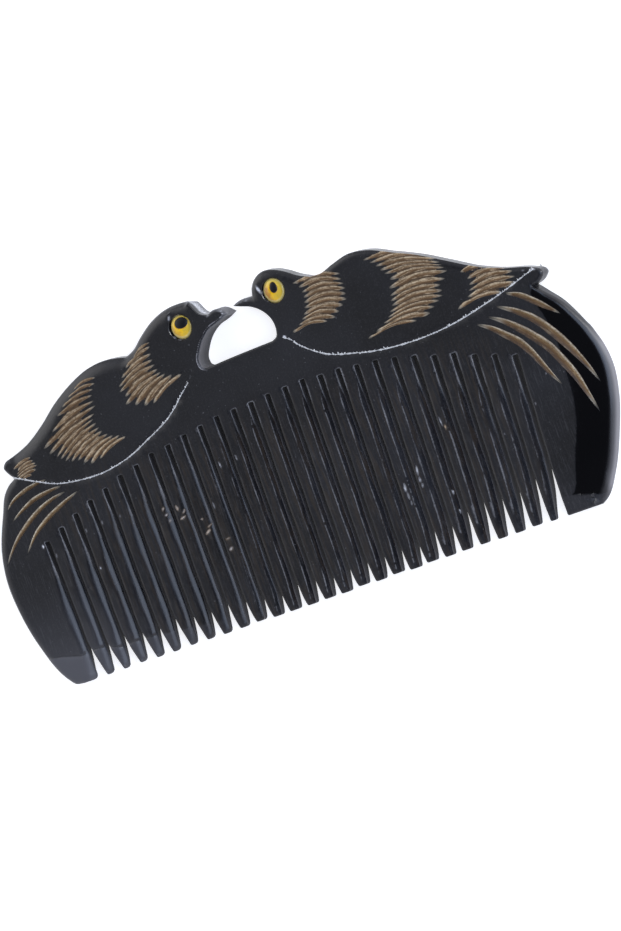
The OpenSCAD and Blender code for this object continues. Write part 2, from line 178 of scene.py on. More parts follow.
# Nicks and painted glints on the teeth and the birds: place, half length, half width, turn in degrees,
# depth, paleness, brownness
NICKS_AND_GLINTS = [
    (-64, 29.9, 0.7, 0.5, 80, 0.1, 1, 0),
    (-61.7, 27.2, 1, 0.3, 80, 0.05, 0.5, 0),
    (-56.9, 18.5, 0.6, 0.35, 90, 0.1, 0.3, 0),
    (-52.9, 30.1, 0.9, 0.3, 90, 0.05, 0.5, 0),
    (-52.8, 21.7, 0.6, 0.35, 90, 0.1, 0.8, 0),
    (-48.6, 30.6, 0.9, 0.3, 90, 0.05, 0.5, 0),
    (-44.1, 30.6, 0.9, 0.3, 90, 0.05, 0.45, 0),
    (-33.9, 29, 0.7, 0.4, 40, 0.15, 0.6, 0.5),
    (-33.7, 27.6, 0.7, 0.4, 20, 0.15, 0.7, 0.3),
    (-33.4, 26.2, 0.8, 0.3, 60, 0.1, 0.5, 0.2),
    (-30.7, 28.2, 1.1, 0.4, 100, 0.2, 0.8, 0.9),
    (-30.2, 25.9, 1.2, 0.35, 15, 0.2, 0.9, 0.8),
    (-29.5, 27.1, 0.8, 0.3, 45, 0.15, 0.7, 0.6),
    (-26.1, 24.3, 0.6, 0.3, 20, 0.1, 0.6, 0.5),
    (-25.7, 21.4, 1.2, 0.45, 30, 0.2, 0.8, 0.9),
    (-24.9, 22.5, 1, 0.3, 25, 0.15, 0.5, 0.6),
    (-22.3, 26.2, 1.4, 0.35, 90, 0.05, 0.6, 0),
    (-22, 16.5, 0.9, 0.5, 30, 0.2, 0.75, 0.4),
    (-21.9, 18.7, 1, 0.3, 5, 0.15, 0.45, 0.5),
    (-17.6, 33.7, 1.4, 0.3, 95, 0.05, 0.75, 0),
    (-13.4, 34, 1.2, 0.3, 95, 0.05, 0.6, 0),
    (-10.3, 11.2, 0.4, 0.3, 0, 0.05, 0.7, 0),
    (21.3, 16.5, 1.6, 0.6, 84, 0.05, 0.75, 0),
    (21.4, 14.7, 1.5, 0.5, 90, 0.05, 0.6, 0),
    (21.5, 13.1, 1, 0.4, 80, 0.05, 0.5, 0),
    (25.3, 19, 1.9, 0.5, 82, 0.05, 0.75, 0),
    (25.2, 17.1, 1.2, 0.55, 88, 0.05, 0.6, 0),
    (25.3, 15.8, 0.9, 0.5, 75, 0.05, 0.6, 0),
    (31.3, 12.4, 0.9, 0.3, 90, 0.05, 0.8, 0),
    (31.3, 8.2, 0.8, 0.3, 90, 0.05, 0.9, 0),
    (34.3, 27, 1.8, 0.35, 95, 0.1, 0.7, 0),
    (34.9, 25.6, 0.8, 0.3, 90, 0.1, 0.5, 0.9),
    (47.1, 20.2, 0.5, 0.3, 90, 0.05, 0.5, 0),
    (56.2, 24, 0.6, 0.3, 90, 0.05, 0.5, 0),
    (60.8, 29.1, 0.5, 0.35, 70, 0.05, 0.45, 0),
    (-17.2, 53, 1.1, 0.2, 60, 0.02, 0.32, 0),
    (-16.4, 54.1, 0.9, 0.18, 62, 0.02, 0.26, 0),
    (-17.7, 61.8, 0.8, 0.2, -55, 0, 0.5, 0),
    (-16.6, 61, 0.7, 0.2, -20, 0, 0.5, 0),
    (7, 54.3, 0.7, 0.45, -40, 0, 1, 0),
    (-17.3, 66, 1, 0.55, 60, 0, 0.75, 0),
    (4.8, 65.3, 1.8, 0.6, 108, 0, 0.95, 0),
    (-5.4, 63.8, 1.3, 0.35, -25, 0, 0.6, 0),
    (65.9, 50.2, 1.1, 0.4, -25, 0, 0.9, 0),
    (63.8, 50.6, 0.8, 0.3, -15, 0, 0.5, 0),
    (2.6, 65.6, 0.6, 0.3, 90, 0.05, 0.5, 0),
    (1.2, 64.1, 0.5, 0.3, 30, 0.2, 0.7, 0),
    (-0.2, 64.1, 0.5, 0.2, 10, 0.1, 0.4, 0),
    (-5, 63.1, 0.7, 0.3, -40, 0, 0.7, 0),
]
LEFT_EYE = (-15.55, 63.45)
RIGHT_EYE = (7.9, 64.05)
SOCKET_RADIUS = 2.65
SOCKET_POINTS = 72
IRIS_RADIUS = 2.44
IRIS_POINTS = 64
PUPIL_POINTS = 48
# How far the rim and the top of an eye's dome lie below the plate's faces
EYE_RIM_DEPTH = 0.6
EYE_TOP_DEPTH = 0.1
# Where the iris has its rings of points, from the pupil to the rim
RING_SHARES = [0, 0.1, 0.25, 0.45, 0.65, 0.82, 0.93, 0.98, 1]
# Bands of feather cuts: rise of a cut's arch, fullness and brownness of the top and the lowest cut, then the
# left ends and the right ends from the top cut to the lowest
FEATHER_BANDS = [
    (0.3, (0.85, 0.95), (0.5, 0.3),
     [(-64.4, 47.2), (-63.5, 46.6), (-64, 46), (-64.2, 45.5), (-64.4, 44.9), (-62.9, 44.6)],
     [(-59.3, 48.5), (-59, 47.7), (-58.6, 47), (-58.4, 46.5), (-59, 45.8), (-60.5, 44.9)]),
    (0.6, (0.55, 0.9), (0.75, 0.35),
     [(-44.6, 58.7), (-46.4, 57.5), (-48.5, 56), (-50.3, 54.6), (-52.7, 51.8), (-56, 49), (-55.1, 47.6),
      (-53.6, 46.5), (-52.9, 45.8), (-52, 45.1), (-50.6, 44.6), (-49.1, 44.4), (-47.9, 43.5),
      (-46.4, 42.9), (-44, 43.2)],
     [(-38.3, 59.6), (-38.9, 58.5), (-39.7, 57.5), (-40.3, 56.4), (-40.4, 55.2), (-40.3, 54.2),
      (-41.3, 52.6), (-41.9, 51.7), (-41.6, 50.7), (-41.3, 49.6), (-40.9, 48.7), (-39.9, 47.7),
      (-38.9, 47), (-37.4, 46.6), (-36.1, 45.9)]),
    (0.6, (0.65, 0.9), (0.45, 0.5),
     [(-28.5, 60.7), (-31, 59.2), (-32.7, 57.5), (-34, 55.9), (-34.3, 54.9), (-33.4, 53.6), (-33.9, 52),
      (-31.8, 51.2), (-29.7, 50.5), (-27.6, 50.3)],
     [(-23.4, 62.7), (-23.6, 61.9), (-23.9, 60.4), (-24, 59.1), (-23.9, 58), (-23.6, 56.9), (-23.1, 56.1),
      (-22.3, 55.5), (-20.9, 54.8), (-18.7, 54.2)]),
    (0.9, (0.8, 1), (0.5, 0.2),
     [(12.6, 64.1), (13.7, 62.9), (14, 61.7), (14, 60.6), (13.7, 59.5), (13.4, 58.5), (12.7, 57.2),
      (12, 56.4), (10.8, 55.5), (9, 54.4)],
     [(24.3, 62.7), (24.1, 61.5), (24.3, 60.5), (24.3, 59.5), (24, 58.4), (23.7, 57.3), (22.5, 56.4),
      (21.1, 55.4), (19.9, 54.6), (17.8, 54.3)]),
    (0.9, (0.8, 1), (0.55, 0.15),
     [(29.85, 63.7), (31.05, 62.7), (32.05, 61.7), (32.75, 60.6), (33.45, 59.6), (34.25, 58.1), (33.35, 56.4),
      (32.95, 54.8), (32.75, 53.8), (32.65, 52.8), (31.65, 51.7), (30.95, 50.8), (29.55, 49.9), (27.25, 48.7),
      (25.05, 48)],
     [(42.65, 61.6), (44.65, 60.1), (46.15, 58.8), (46.75, 57.9), (47.15, 57.2), (47.45, 56.6), (47.85, 55.8),
      (46.75, 54.4), (45.25, 53.5), (45.25, 52.3), (44.95, 51.3), (43.85, 50.6), (42.35, 49.7), (40.95, 48.8),
      (37.45, 48.2)]),
    (0.8, (0.7, 0.95), (0.7, 0.2),
     [(50.15, 54.6), (51.05, 52.8), (51.05, 51.5), (50.45, 50.4), (49.75, 49.2), (46.75, 47.5)],
     [(55.95, 53.9), (60.55, 52.2), (61.75, 51.2), (61.95, 50), (61.45, 48.9), (57.95, 47.9)]),
]
# Long plumes under each tail: widest width, then the route from the bird outwards
PLUMES = [
    (0.95, [(-57.5, 43), (-61.1, 42.7), (-64.7, 41.9), (-67.7, 40.6), (-69.3, 39.3)]),
    (1.05, [(-54.5, 40.7), (-58.7, 40.4), (-62.3, 39.8), (-65.3, 38.7), (-69, 36.9)]),
    (1.1, [(-53.9, 39.4), (-58.7, 38.5), (-62.3, 37.2), (-65.9, 35.3), (-69.6, 32.8), (-72, 30.6),
           (-74, 28.3)]),
    (1.1, [(-51.2, 38.6), (-56.3, 36.9), (-61.1, 34.9), (-64.7, 32.8), (-67.1, 30.6), (-68.4, 29.3)]),
    (1.7, [(49.5, 43.5), (52.7, 41.6), (55.3, 39.3), (57.6, 37.1), (59.2, 34.6), (60.8, 31.2), (62.2, 28.2),
           (63.6, 25.6)]),
    (2.1, [(52.4, 44.2), (55.5, 42.4), (58.7, 39.7), (61, 37.3), (63.6, 34.1), (65.3, 30.7), (66.9, 26.7),
           (67.9, 22.7), (68.9, 18.1)]),
    (1.9, [(55, 45.7), (58.9, 43.5), (62.5, 40.6), (65.1, 37.3), (67.2, 33.8), (68.6, 30.9), (69.9, 27.9),
           (71.3, 23.8)]),
    (1.4, [(58.1, 47.5), (61.3, 46.1), (64, 43.9), (66.2, 41.8), (68.3, 39.7)]),
]
# Routes of the chalk lines under the birds, from the tail's end and from the breast
LEFT_BELLY = [
    (-65, 45.6), (-62.3, 44.3), (-59.3, 42.9), (-56.3, 41.6), (-53.3, 40.9), (-50.3, 40.5), (-47.3, 40.3),
    (-44.3, 40.3), (-41.3, 40.7), (-38.3, 41.3), (-35.3, 42.2), (-32.4, 43.4), (-29.4, 44.6), (-26.4, 45.9),
    (-23.4, 47.8), (-20.5, 50.2), (-18.9, 51.4), (-18.1, 52.1),
]
RIGHT_BELLY = [
    (6.5, 54.3), (8.2, 53.2), (9, 52.2), (10.8, 50.6), (12.6, 49.3), (14.9, 48), (17.8, 47), (20.8, 46.3),
    (23.7, 45.6), (29.5, 44.8), (35.3, 44.5), (41.1, 44.7), (46.9, 45.4), (52.7, 46.6), (58.5, 48),
    (64.3, 49.7), (66, 50.2),
]
# Route of the groove beside the left bird's throat
THROAT_GROOVE = [
    (-5.6, 62.45), (-7.5, 61.85), (-9.05, 61.43), (-11.28, 60), (-13.12, 57.85), (-14.25, 55.35),
    (-14.05, 54.2),
]
SEED = 28
# Most points that one sum compares with a whole outline at once
BATCH = 2000
# Angles round an edge's curve where rows of points lie
EDGE_TURNS = (26, 50, 72, 90, 105)
# Spacing of the points inside the faces, then the least room round points of the edges, of the facets,
# chips and painted glints, and of the faces
FILL_STEP = 1.15
RING_ROOM = 0.12
FEATURE_ROOM = 0.13
FILL_ROOM = 0.42
# Between which distances from the middle walls are sawn matt, and between which the two throats lie
SAWN_SPAN = (-64.8, 58)
THROAT_SPAN = (-16, 6)
# Height where the throats' matt walls end, and where the forehead's painted highlight starts
THROAT_TOP = 62.5
BROW_FOOT = 63.7
# Kinds of cut that bare the horn, with their material's number, and a number that stands for any wall
CUT_KINDS = {"feather": 1, "plume": 2}
WALL = 9
# Rows of points on the walls, between their front and their back edge
WALL_ROWS = 2
FLOOR_POINTS = 96
# The camera's lean to the right and its turn in degrees, then its distance, its target and the picture's
# height at the comb in metres
CAMERA_TILT = 28
CAMERA_ROLL = 19.4
CAMERA_DISTANCE = 2.6
CAMERA_TARGET = (0.00304, -0.00697, 0.00492)
VIEW_HEIGHT = 0.1932


# Curves


def curve_slopes(points):
    """The direction of a smooth curve at each of its points."""
    steps = np.linalg.norm(np.diff(points, axis=0), axis=1)
    slopes = np.empty_like(points)
    slopes[0] = (points[1] - points[0]) / steps[0]
    slopes[-1] = (points[-1] - points[-2]) / steps[-1]
    for i in range(1, len(points) - 1):
        before, after = steps[i - 1], steps[i]
        backward = (points[i] - points[i - 1]) * after / before
        forward = (points[i + 1] - points[i]) * before / after
        slopes[i] = (backward + forward) / (before + after)
    return slopes


def smooth_curve(points, spacing, closed_end=False):
    """Points along a smooth curve, about one spacing apart, with or without its last one."""
    points = np.array(points, float)
    slopes = curve_slopes(points)
    result = []
    for i in range(len(points) - 1):
        length = np.linalg.norm(points[i + 1] - points[i])
        count = max(1, math.ceil(length / spacing))
        for t in np.arange(count) / count:
            result.append(
                (2 * t ** 3 - 3 * t ** 2 + 1) * points[i]
                + (t ** 3 - 2 * t ** 2 + t) * length * slopes[i]
                + (3 * t ** 2 - 2 * t ** 3) * points[i + 1]
                + (t ** 3 - t ** 2) * length * slopes[i + 1]
            )
    if closed_end:
        result.append(points[-1])
    return np.array(result)


def distances_along(line):
    """How far along a line each of its points lies."""
    return np.concatenate([[0], np.cumsum(np.linalg.norm(np.diff(line, axis=0), axis=1))])


def resample(line, count):
    """A line's points at equal distances along it."""
    along = distances_along(line)
    wanted = np.linspace(0, along[-1], count)
    return np.stack([np.interp(wanted, along, line[:, k]) for k in (0, 1)], 1)


def route_line(route, spacing):
    """A smooth curve through a route, as points about one spacing apart."""
    line = smooth_curve(route, 0.2, True)
    return resample(line, int(distances_along(line)[-1] / spacing))


def line_normals(line):
    """Directions square to a line, towards its left, at each of its points."""
    along = np.gradient(line, axis=0)
    along /= np.linalg.norm(along, axis=1)[:, None]
    return np.stack([-along[:, 1], along[:, 0]], 1)


def full_turn(count):
    """Directions at equal steps all the way round."""
    return np.linspace(0, 2 * math.pi, count, endpoint=False)


def round_plan(middle, reach, turns):
    """Points at the given reach and directions from a middle."""
    return np.stack([middle[0] + reach * np.cos(turns), middle[1] + reach * np.sin(turns)], 1)


def profile(rows, places, column=1):
    """Reads a column of a table at the given values of its first column."""
    return np.interp(places, [row[0] for row in rows], [row[column] for row in rows])


def row_at(rows, place):
    """Reads every further column of a table at one value of its first column."""
    return [float(profile(rows, place, column)) for column in range(1, len(rows[0]))]


# Plan of the plate


def slot_side(width, opening, taper_height, radius, root, raised, dice):
    """One side of a saw cut, from its tip corner upwards: distance from the cut's middle, and height."""
    rows = []
    for turn in (0, 30, 60, 90):
        out = radius * (1 - math.sin(math.radians(turn)))
        out += opening - PINCH / 2
        rows.append((width / 2 + out, raised + radius * (1 - math.cos(math.radians(turn)))))
    phases = [dice.uniform(0, 6.28) for _ in range(3)]
    heights = [h for h in np.arange(1.2, taper_height, 0.7) if h > raised + radius + 0.2]
    heights += list(np.arange(taper_height, root - 0.5, 0.85))
    for height in heights:
        opened = opening * max(0, 1 - (height - radius) / (taper_height - radius)) ** 1.4
        wander = 0.035 * math.sin(height / 3.1 + phases[0]) + 0.025 * math.sin(height / 1.3 + phases[1])
        narrowed = PINCH / 2 * min(1, max(0, root - height - 2) / 9)
        rows.append((width / 2 + opened + wander - narrowed, height))
    rows.append((width / 2, root - ROOT_CORNER))
    rows.append((width / 2 - ROOT_CORNER * 0.3, root - ROOT_CORNER * 0.3))
    return rows


def edge_values(kind, share=1.0, wear_and_highlight_share=1.0, other=None):
    """The six numbers of a tooth's edge, mixed with another kind's by a share."""
    values = np.array(TOOTH_EDGES[kind])
    if other:
        values = values * share + np.array(TOOTH_EDGES[other]) * (1 - share)
    values[3] *= wear_and_highlight_share
    return values


def slot_loop(index, raised_left, raised_right, dice):
    """The walls of one saw cut, from its right tip corner round its end to its left tip corner."""
    root_x = ROOT_START + index * ROOT_PITCH
    tip_x = TIP_START + index * TIP_PITCH
    line = smooth_curve(ROOT_LINE, 1, True)
    root = float(np.interp(root_x, line[:, 0], line[:, 1])) + dice.uniform(-0.25, 0.25)
    width = SLOT_WIDTH * dice.uniform(0.93, 1.08)
    lean = (root_x - tip_x) / root
    open_left, open_right, taper_height, radius = row_at(TIP_OPENINGS, index)
    taper_height *= dice.uniform(0.9, 1.1)
    open_left, open_right = open_left + dice.uniform(-0.08, 0.08), open_right + dice.uniform(-0.08, 0.08)
    ends = root + dice.uniform(-0.08, 0.08), root + dice.uniform(-0.08, 0.08)
    reach, depth, flat, bevel_width = row_at(FILED, index)
    humped = min(1, max(0, (index - 18) / 5))
    right = slot_side(width, open_right, taper_height, TIP_RADIUS, ends[0], raised_right, dice)
    left = slot_side(width, open_left, taper_height, radius, ends[1], raised_left, dice)
    rows = []
    for out, height in right:
        # This edge gets beaded pale wear and a painted highlight at random, most near the root
        near_root = max(0, 1 - (root - height) / 12)
        values = edge_values("left", wear_and_highlight_share=dice.random() ** 2 * 4 * (0.12 + 0.88 * near_root))
        values[:2] += (0.15 * humped, 0.1 * humped)
        rows.append((tip_x + lean * height + out, height, *values))
    for out in (width * 0.25, -width * 0.25):
        rows.append((tip_x + lean * root + out, root + dice.uniform(0, 0.06), *edge_values("root")))
    # The file starts some way below the root and works deeper on the left teeth
    start = dice.uniform(0.5, 4)
    phase = dice.uniform(0, 6.28)
    bevel_start = 1 + 3 * humped
    for out, height in reversed(left):
        filed = min(1, max(0, (root - height - start) / 11))
        filed = filed * filed * (3 - 2 * filed) * reach * (1 + 0.14 * math.sin(height / 2.3 + phase))
        values = edge_values("filed", filed, 1, "right")
        values[1] *= (depth / reach) ** filed
        values[3] *= dice.uniform(0.2, 1.4)
        bevelled = flat * min(1, max(0, (root - height - bevel_start) / 5))
        bevel = np.array(TOOTH_EDGES["bevel"]) * (bevel_width, bevel_width, 1, 1, 1, dice.uniform(0.2, 1.7))
        values = values * (1 - bevelled) + bevel * bevelled
        rows.append((tip_x + lean * height - out, height, *values))
    return rows


def tip_rows(start, end, count):
    """The points between two corners of a tooth's tip, with the six numbers of a tip's edge."""
    start, end = np.array(start), np.array(end)
    return [(*(start + (end - start) * share), *TOOTH_EDGES["tip"]) for share in np.arange(1, count) / count]


def plate_loop():
    """The plate's whole outline, clockwise: place, then the six numbers of its edge."""
    rows = []
    for points, *edge in OUTLINE:
        for x, y in smooth_curve(points, 0.5):
            if points in (RIGHT_SHOULDER, RIGHT_END):
                edge[:2] = row_at(RIGHT_RIM, y)
            rows.append((x, y, *edge))
    dice = random.Random(SEED)
    raised = [0] + [dice.uniform(0, 0.3) for _ in range(SLOT_COUNT - 1)] + [0]
    rows.append((*RIGHT_END[-1], *TOOTH_EDGES["tip"]))
    for index in reversed(range(SLOT_COUNT)):
        walls = slot_loop(index, raised[index], raised[index + 1], dice)
        start, end = rows[-1][:2], walls[0][:2]
        rows += tip_rows(start, end, max(2, int(math.dist(start, end) / 0.5)))
        rows += walls
    rows += tip_rows(rows[-1][:2], LEFT_END[0], 6)
    loop = np.array(rows)
    # The edges' numbers blend where two kinds of edge meet
    for _ in range(3):
        loop[:, 2:] = (np.roll(loop[:, 2:], 1, 0) + 2 * loop[:, 2:] + np.roll(loop[:, 2:], -1, 0)) / 4
    return loop


def socket_loop(middle):
    """The mouth of an eye's socket, anticlockwise."""
    turns = full_turn(SOCKET_POINTS)
    edge = np.tile((0.25, 0.2, 0, 0.06, 0.8, 0), (SOCKET_POINTS, 1))
    return np.column_stack([round_plan(middle, SOCKET_RADIUS, turns), edge])


def inside_loop(points, loop):
    """Which points lie inside a closed loop."""
    start = loop[:, :2]
    end = np.roll(start, -1, 0)
    result = np.zeros(len(points), bool)
    for low in range(0, len(points), BATCH):
        x = points[low:low + BATCH, 0][:, None]
        y = points[low:low + BATCH, 1][:, None]
        crosses = (start[:, 1] > y) != (end[:, 1] > y)
        rise = np.where(end[:, 1] == start[:, 1], 1, end[:, 1] - start[:, 1])
        at = start[:, 0] + (y - start[:, 1]) / rise * (end[:, 0] - start[:, 0])
        result[low:low + BATCH] = (crosses & (x < at)).sum(1) % 2 == 1
    return result


class EdgeFinder:
    """Finds the nearest place on any of the plate's loops, with the six numbers of its edge."""

    def __init__(self, loops, spacing=0.12):
        rows = []
        for loop in loops:
            ends = np.roll(loop, -1, 0)
            for start, end in zip(loop, ends):
                count = max(1, math.ceil(np.linalg.norm(end[:2] - start[:2]) / spacing))
                shares = (np.arange(count) / count)[:, None]
                rows.append(start + (end - start) * shares)
        self.rows = np.concatenate(rows)
        self.tree = KDTree(len(self.rows))
        for i, row in enumerate(self.rows):
            self.tree.insert((row[0], row[1], 0), i)
        self.tree.balance()

    def look(self, points):
        """Distance to the nearest edge, then that edge's six numbers, for each point."""
        result = np.empty((len(points), 7))
        for i, (x, y) in enumerate(points):
            _, index, distance = self.tree.find((x, y, 0))
            result[i] = distance, *self.rows[index, 2:]
        return result


# Cuts into the faces


class Cut:
    """One tapered gouge cut: middle line, widths below and above it, depth, kind and brownness."""

    def __init__(self, line, halves, depth, kind, brown=0.3):
        self.line = line
        self.halves = halves
        self.depth = depth
        self.kind = kind
        self.brown = brown
        self.along = distances_along(line)
        self.widest = halves.max()

    def place(self, points):
        """Distance along the cut and share of the half width across it, positive upwards, for each point."""
        start, end = self.line[:-1], self.line[1:]
        step = end - start
        length = np.maximum((step ** 2).sum(1), 1e-9)
        offset = points[:, None, :] - start[None]
        share = np.clip((offset * step).sum(2) / length, 0, 1)
        gap = offset - share[..., None] * step
        distance = np.sqrt((gap ** 2).sum(2))
        nearest = distance.argmin(1)
        rows = np.arange(len(points))
        side = step[nearest, 0] * gap[rows, nearest, 1] - step[nearest, 1] * gap[rows, nearest, 0]
        along = self.along[nearest] + share[rows, nearest] * np.sqrt(length[nearest])
        below = np.interp(along, self.along, self.halves[:, 0])
        above = np.interp(along, self.along, self.halves[:, 1])
        half = np.maximum(np.where(side > 0, above, below), 0.02)
        return along, np.sign(side) * distance[rows, nearest] / half, half

    def near(self, points, room=0.5):
        """Indices of the points that lie close to the cut."""
        low = self.line.min(0) - self.widest - room
        high = self.line.max(0) + self.widest + room
        return np.nonzero(((points > low) & (points < high)).all(1))[0]


def taper(shares, fullness):
    """Share of the full width along a cut that is sharp at both ends."""
    return np.sin(math.pi * np.clip(shares, 0, 1)) ** fullness


def band_cuts(band, dice, depth):
    """The feather cuts of one band. Each fills the room to its neighbours in the middle."""
    arch, fullness, brownness, lefts, rights = band
    lines = []
    for left, right in zip(lefts, rights):
        left, right = np.array(left, float), np.array(right, float)
        middle = (left + right) / 2 + (0, arch + dice.uniform(-0.08, 0.08))
        length = np.linalg.norm(right - left)
        line = smooth_curve([left, middle, right], 0.2, True)
        lines.append(resample(line, max(9, int(length / 0.42))))
    cuts = []
    for i, line in enumerate(lines):
        place = i / (len(lines) - 1)
        shares = np.linspace(0, 1, len(line))
        halves = np.empty((len(line), 2))
        for column, j in ((0, i + 1), (1, i - 1)):
            if 0 <= j < len(lines):
                other = resample(lines[j], 80)
                room = np.linalg.norm(line[:, None] - other[None], axis=2).min(1)
                halves[:, column] = np.clip(room, 0.25, 1.7) / 2
            else:
                halves[:, column] = 0.34
        full = fullness[0] + (fullness[1] - fullness[0]) * place
        reach = 1.25 * full * dice.uniform(0.95, 1.05) * taper(shares, dice.uniform(0.6, 0.85))
        halves *= np.minimum(0.9, reach)[:, None]
        brown = brownness[0] + (brownness[1] - brownness[0]) * place + dice.uniform(-0.15, 0.15)
        cuts.append(Cut(line, halves + 0.01, depth * min(1, np.median(halves) / 0.4), "feather", brown))
    return cuts


def plume_cut(row, depth):
    """One long plume, widest just before its middle, with its painted lit side uppermost."""
    width, route = row
    line = route_line(route, 0.45)
    shares = np.linspace(0, 1, len(line)) ** 0.9
    half = width / 2 * taper(shares, 0.8) + 0.01
    sides = np.stack([half, half], 1)
    if line[-1, 0] < line[0, 0]:
        return Cut(line[::-1], sides[::-1], depth, "plume", 0)
    return Cut(line, sides, depth, "plume", 0.15)


def belly_groove(route, width, depth):
    """A shallow groove of nearly even width, as under each bird for its chalk line."""
    line = route_line(route, 0.5)
    shares = np.linspace(0, 1, len(line))
    half = width / 2 * np.clip(taper(shares, 0.25), 0.1, 1)
    return Cut(line, np.stack([half, half], 1), depth, "belly")


# The plate's mesh


def ring_points(loops, finder):
    """Rows of points along the rounded edges, clear of every other edge."""
    found = []
    for loop in loops:
        place = loop[:, :2]
        along = np.roll(place, -1, 0) - np.roll(place, 1, 0)
        along /= np.maximum(np.linalg.norm(along, axis=1), 1e-9)[:, None]
        normal = np.stack([along[:, 1], -along[:, 0]], 1)
        for turn in EDGE_TURNS:
            share = 1 - math.cos(math.radians(turn))
            reach = loop[:, 2] * share
            points = place + normal * reach[:, None]
            distance = finder.look(points)[:, 0]
            keep = distance > reach * 0.93 - 0.01
            if turn < 60:
                keep &= loop[:, 2] > 0.45
            found.append(points[keep])
    return np.concatenate(found)


def thin_out(points, taken, spacing):
    """The points that keep a distance from those already taken and from each other."""
    cells = {}

    def cell(point):
        return math.floor(point[0] / spacing), math.floor(point[1] / spacing)

    for point in taken:
        cells.setdefault(cell(point), []).append(point)
    kept = []
    for point in points:
        column, row = cell(point)
        near = []
        for i in (-1, 0, 1):
            for j in (-1, 0, 1):
                near += cells.get((column + i, row + j), ())
        if all((x - point[0]) ** 2 + (y - point[1]) ** 2 >= spacing ** 2 for x, y in near):
            kept.append(point)
            cells.setdefault((column, row), []).append(point)
    return np.array(kept)


def cut_points(cuts, finder, outer):
    """Rows of points across every cut, and the edges that keep its rims sharp."""
    points, edges = [], []
    for cut in cuts:
        normal = line_normals(cut.line)
        for across in (-1, -0.5, 0, 0.5, 1):
            half = cut.halves[:, 1 if across > 0 else 0]
            row = cut.line + normal * (half * across)[:, None]
            clear = (finder.look(row)[:, 0] > 0.15) & inside_loop(row, outer)
            if across not in (-1, 0, 1):
                clear &= half > 0.15
            indices = {}
            for i in np.nonzero(clear)[0]:
                indices[i] = len(points)
                points.append(row[i])
            if across in (-1, 1):
                for i in range(len(row) - 1):
                    if i in indices and i + 1 in indices:
                        edges.append((indices[i], indices[i + 1]))
    return np.array(points), edges


def slope_share(points):
    """How far down the sloping face each point lies: 0 outside it, 1 at the rim, less where it is narrow."""
    result = np.zeros(len(points))
    inner = smooth_curve(SLOPE_EDGE, 0.25, True)
    rim = np.concatenate([smooth_curve(RIGHT_SHOULDER, 0.25), smooth_curve(RIGHT_END, 0.25, True)])
    whole = np.concatenate([smooth_curve(SLOPE_EDGE, 0.4, True), SLOPE_SURROUND])
    near = np.nonzero((points[:, 0] > 56) & inside_loop(points, whole))[0]
    for low in range(0, len(near), BATCH):
        part = near[low:low + BATCH]
        from_inner = np.linalg.norm(points[part][:, None] - inner[None], axis=2).min(1)
        from_rim = np.linalg.norm(points[part][:, None] - rim[None], axis=2).min(1)
        whole_way = np.maximum(from_inner + from_rim, 1e-6)
        result[part] = from_inner / whole_way * np.clip(whole_way / 8, 0, 1)
    return result


def front_height(points):
    """Height of the front face before its edges are rounded and its feathers cut."""
    knee = profile(FACETS, points[:, 0])
    held = np.column_stack([points[:, 0], np.maximum(points[:, 1], knee)])
    upper = profile(FRONT_PROFILE, held[:, 1]) - SLOPE_DROP * slope_share(held)
    # The plate thins towards both of its ends
    upper -= 0.5 * np.clip((-50 - points[:, 0]) / 25, 0, 1.1) ** 2
    upper -= 0.7 * np.clip((points[:, 0] - 5) / 60, 0, 1.2) ** 2
    # The sanded facet falls away below its upper edge, which is a fine groove on the left
    height = upper - 0.12 * np.maximum(0, knee - points[:, 1])
    line = np.clip(1 - np.abs(points[:, 1] - knee) / 0.3, 0, 1)
    return height - 0.2 * line * np.clip((-40 - points[:, 0]) / 10, 0, 1) - tooth_unevenness(points)


def tooth_unevenness(points):
    """How far hand filing left each tooth's face below true: a slight tilt and slow waves."""
    dice = random.Random(SEED + 4)
    tilt = np.array([dice.uniform(-0.028, 0.028) for _ in range(SLOT_COUNT + 1)])
    phase = np.array([dice.uniform(0, 6.28) for _ in range(SLOT_COUNT + 1)])
    share = points[:, 1] / 38
    start = TIP_START + (ROOT_START - TIP_START) * share
    pitch = TIP_PITCH + (ROOT_PITCH - TIP_PITCH) * share
    column = (points[:, 0] - start) / pitch
    index = np.clip(np.floor(column).astype(int), 0, SLOT_COUNT)
    root = profile(ROOT_LINE, points[:, 0])
    below = np.clip((root - points[:, 1]) / 5, 0, 1) * ((column > 0) & (column < SLOT_COUNT - 1))
    across = (column - index - 0.5) * pitch
    waves = 0.02 * np.sin(points[:, 1] / 2.1 + phase[index])
    waves += 0.012 * np.sin(points[:, 1] / 0.9 + phase[index] * 2)
    return below * (tilt[index] * across + waves + 0.03)


def feature_points():
    """Rows of points that keep the facets' edges, the slope's boundary, the chips and the painted glints
    crisp.
    """
    rows = []
    x = np.arange(-76, 76, 0.45)
    for offset in (-0.3, 0, 0.3):
        rows.append(np.column_stack([x, profile(FACETS, x) + offset]))
    inner = smooth_curve(SLOPE_EDGE + SLOPE_SURROUND[:2], 0.4, True)
    for offset in (0, 0.25, -0.25):
        rows.append(inner + line_normals(inner) * offset)
    for x, y, half_length, half_width, turn, *_ in NICKS_AND_GLINTS:
        turn = math.radians(turn)
        for i in np.arange(-1.2, 1.21, 0.24 / half_length):
            for j in np.arange(-1.2, 1.21, 0.22 / half_width):
                a, b = i * half_length, j * half_width
                rows.append(np.array([[
                    x + a * math.cos(turn) - b * math.sin(turn), y + a * math.sin(turn) + b * math.cos(turn)
                ]]))
    return np.concatenate(rows)


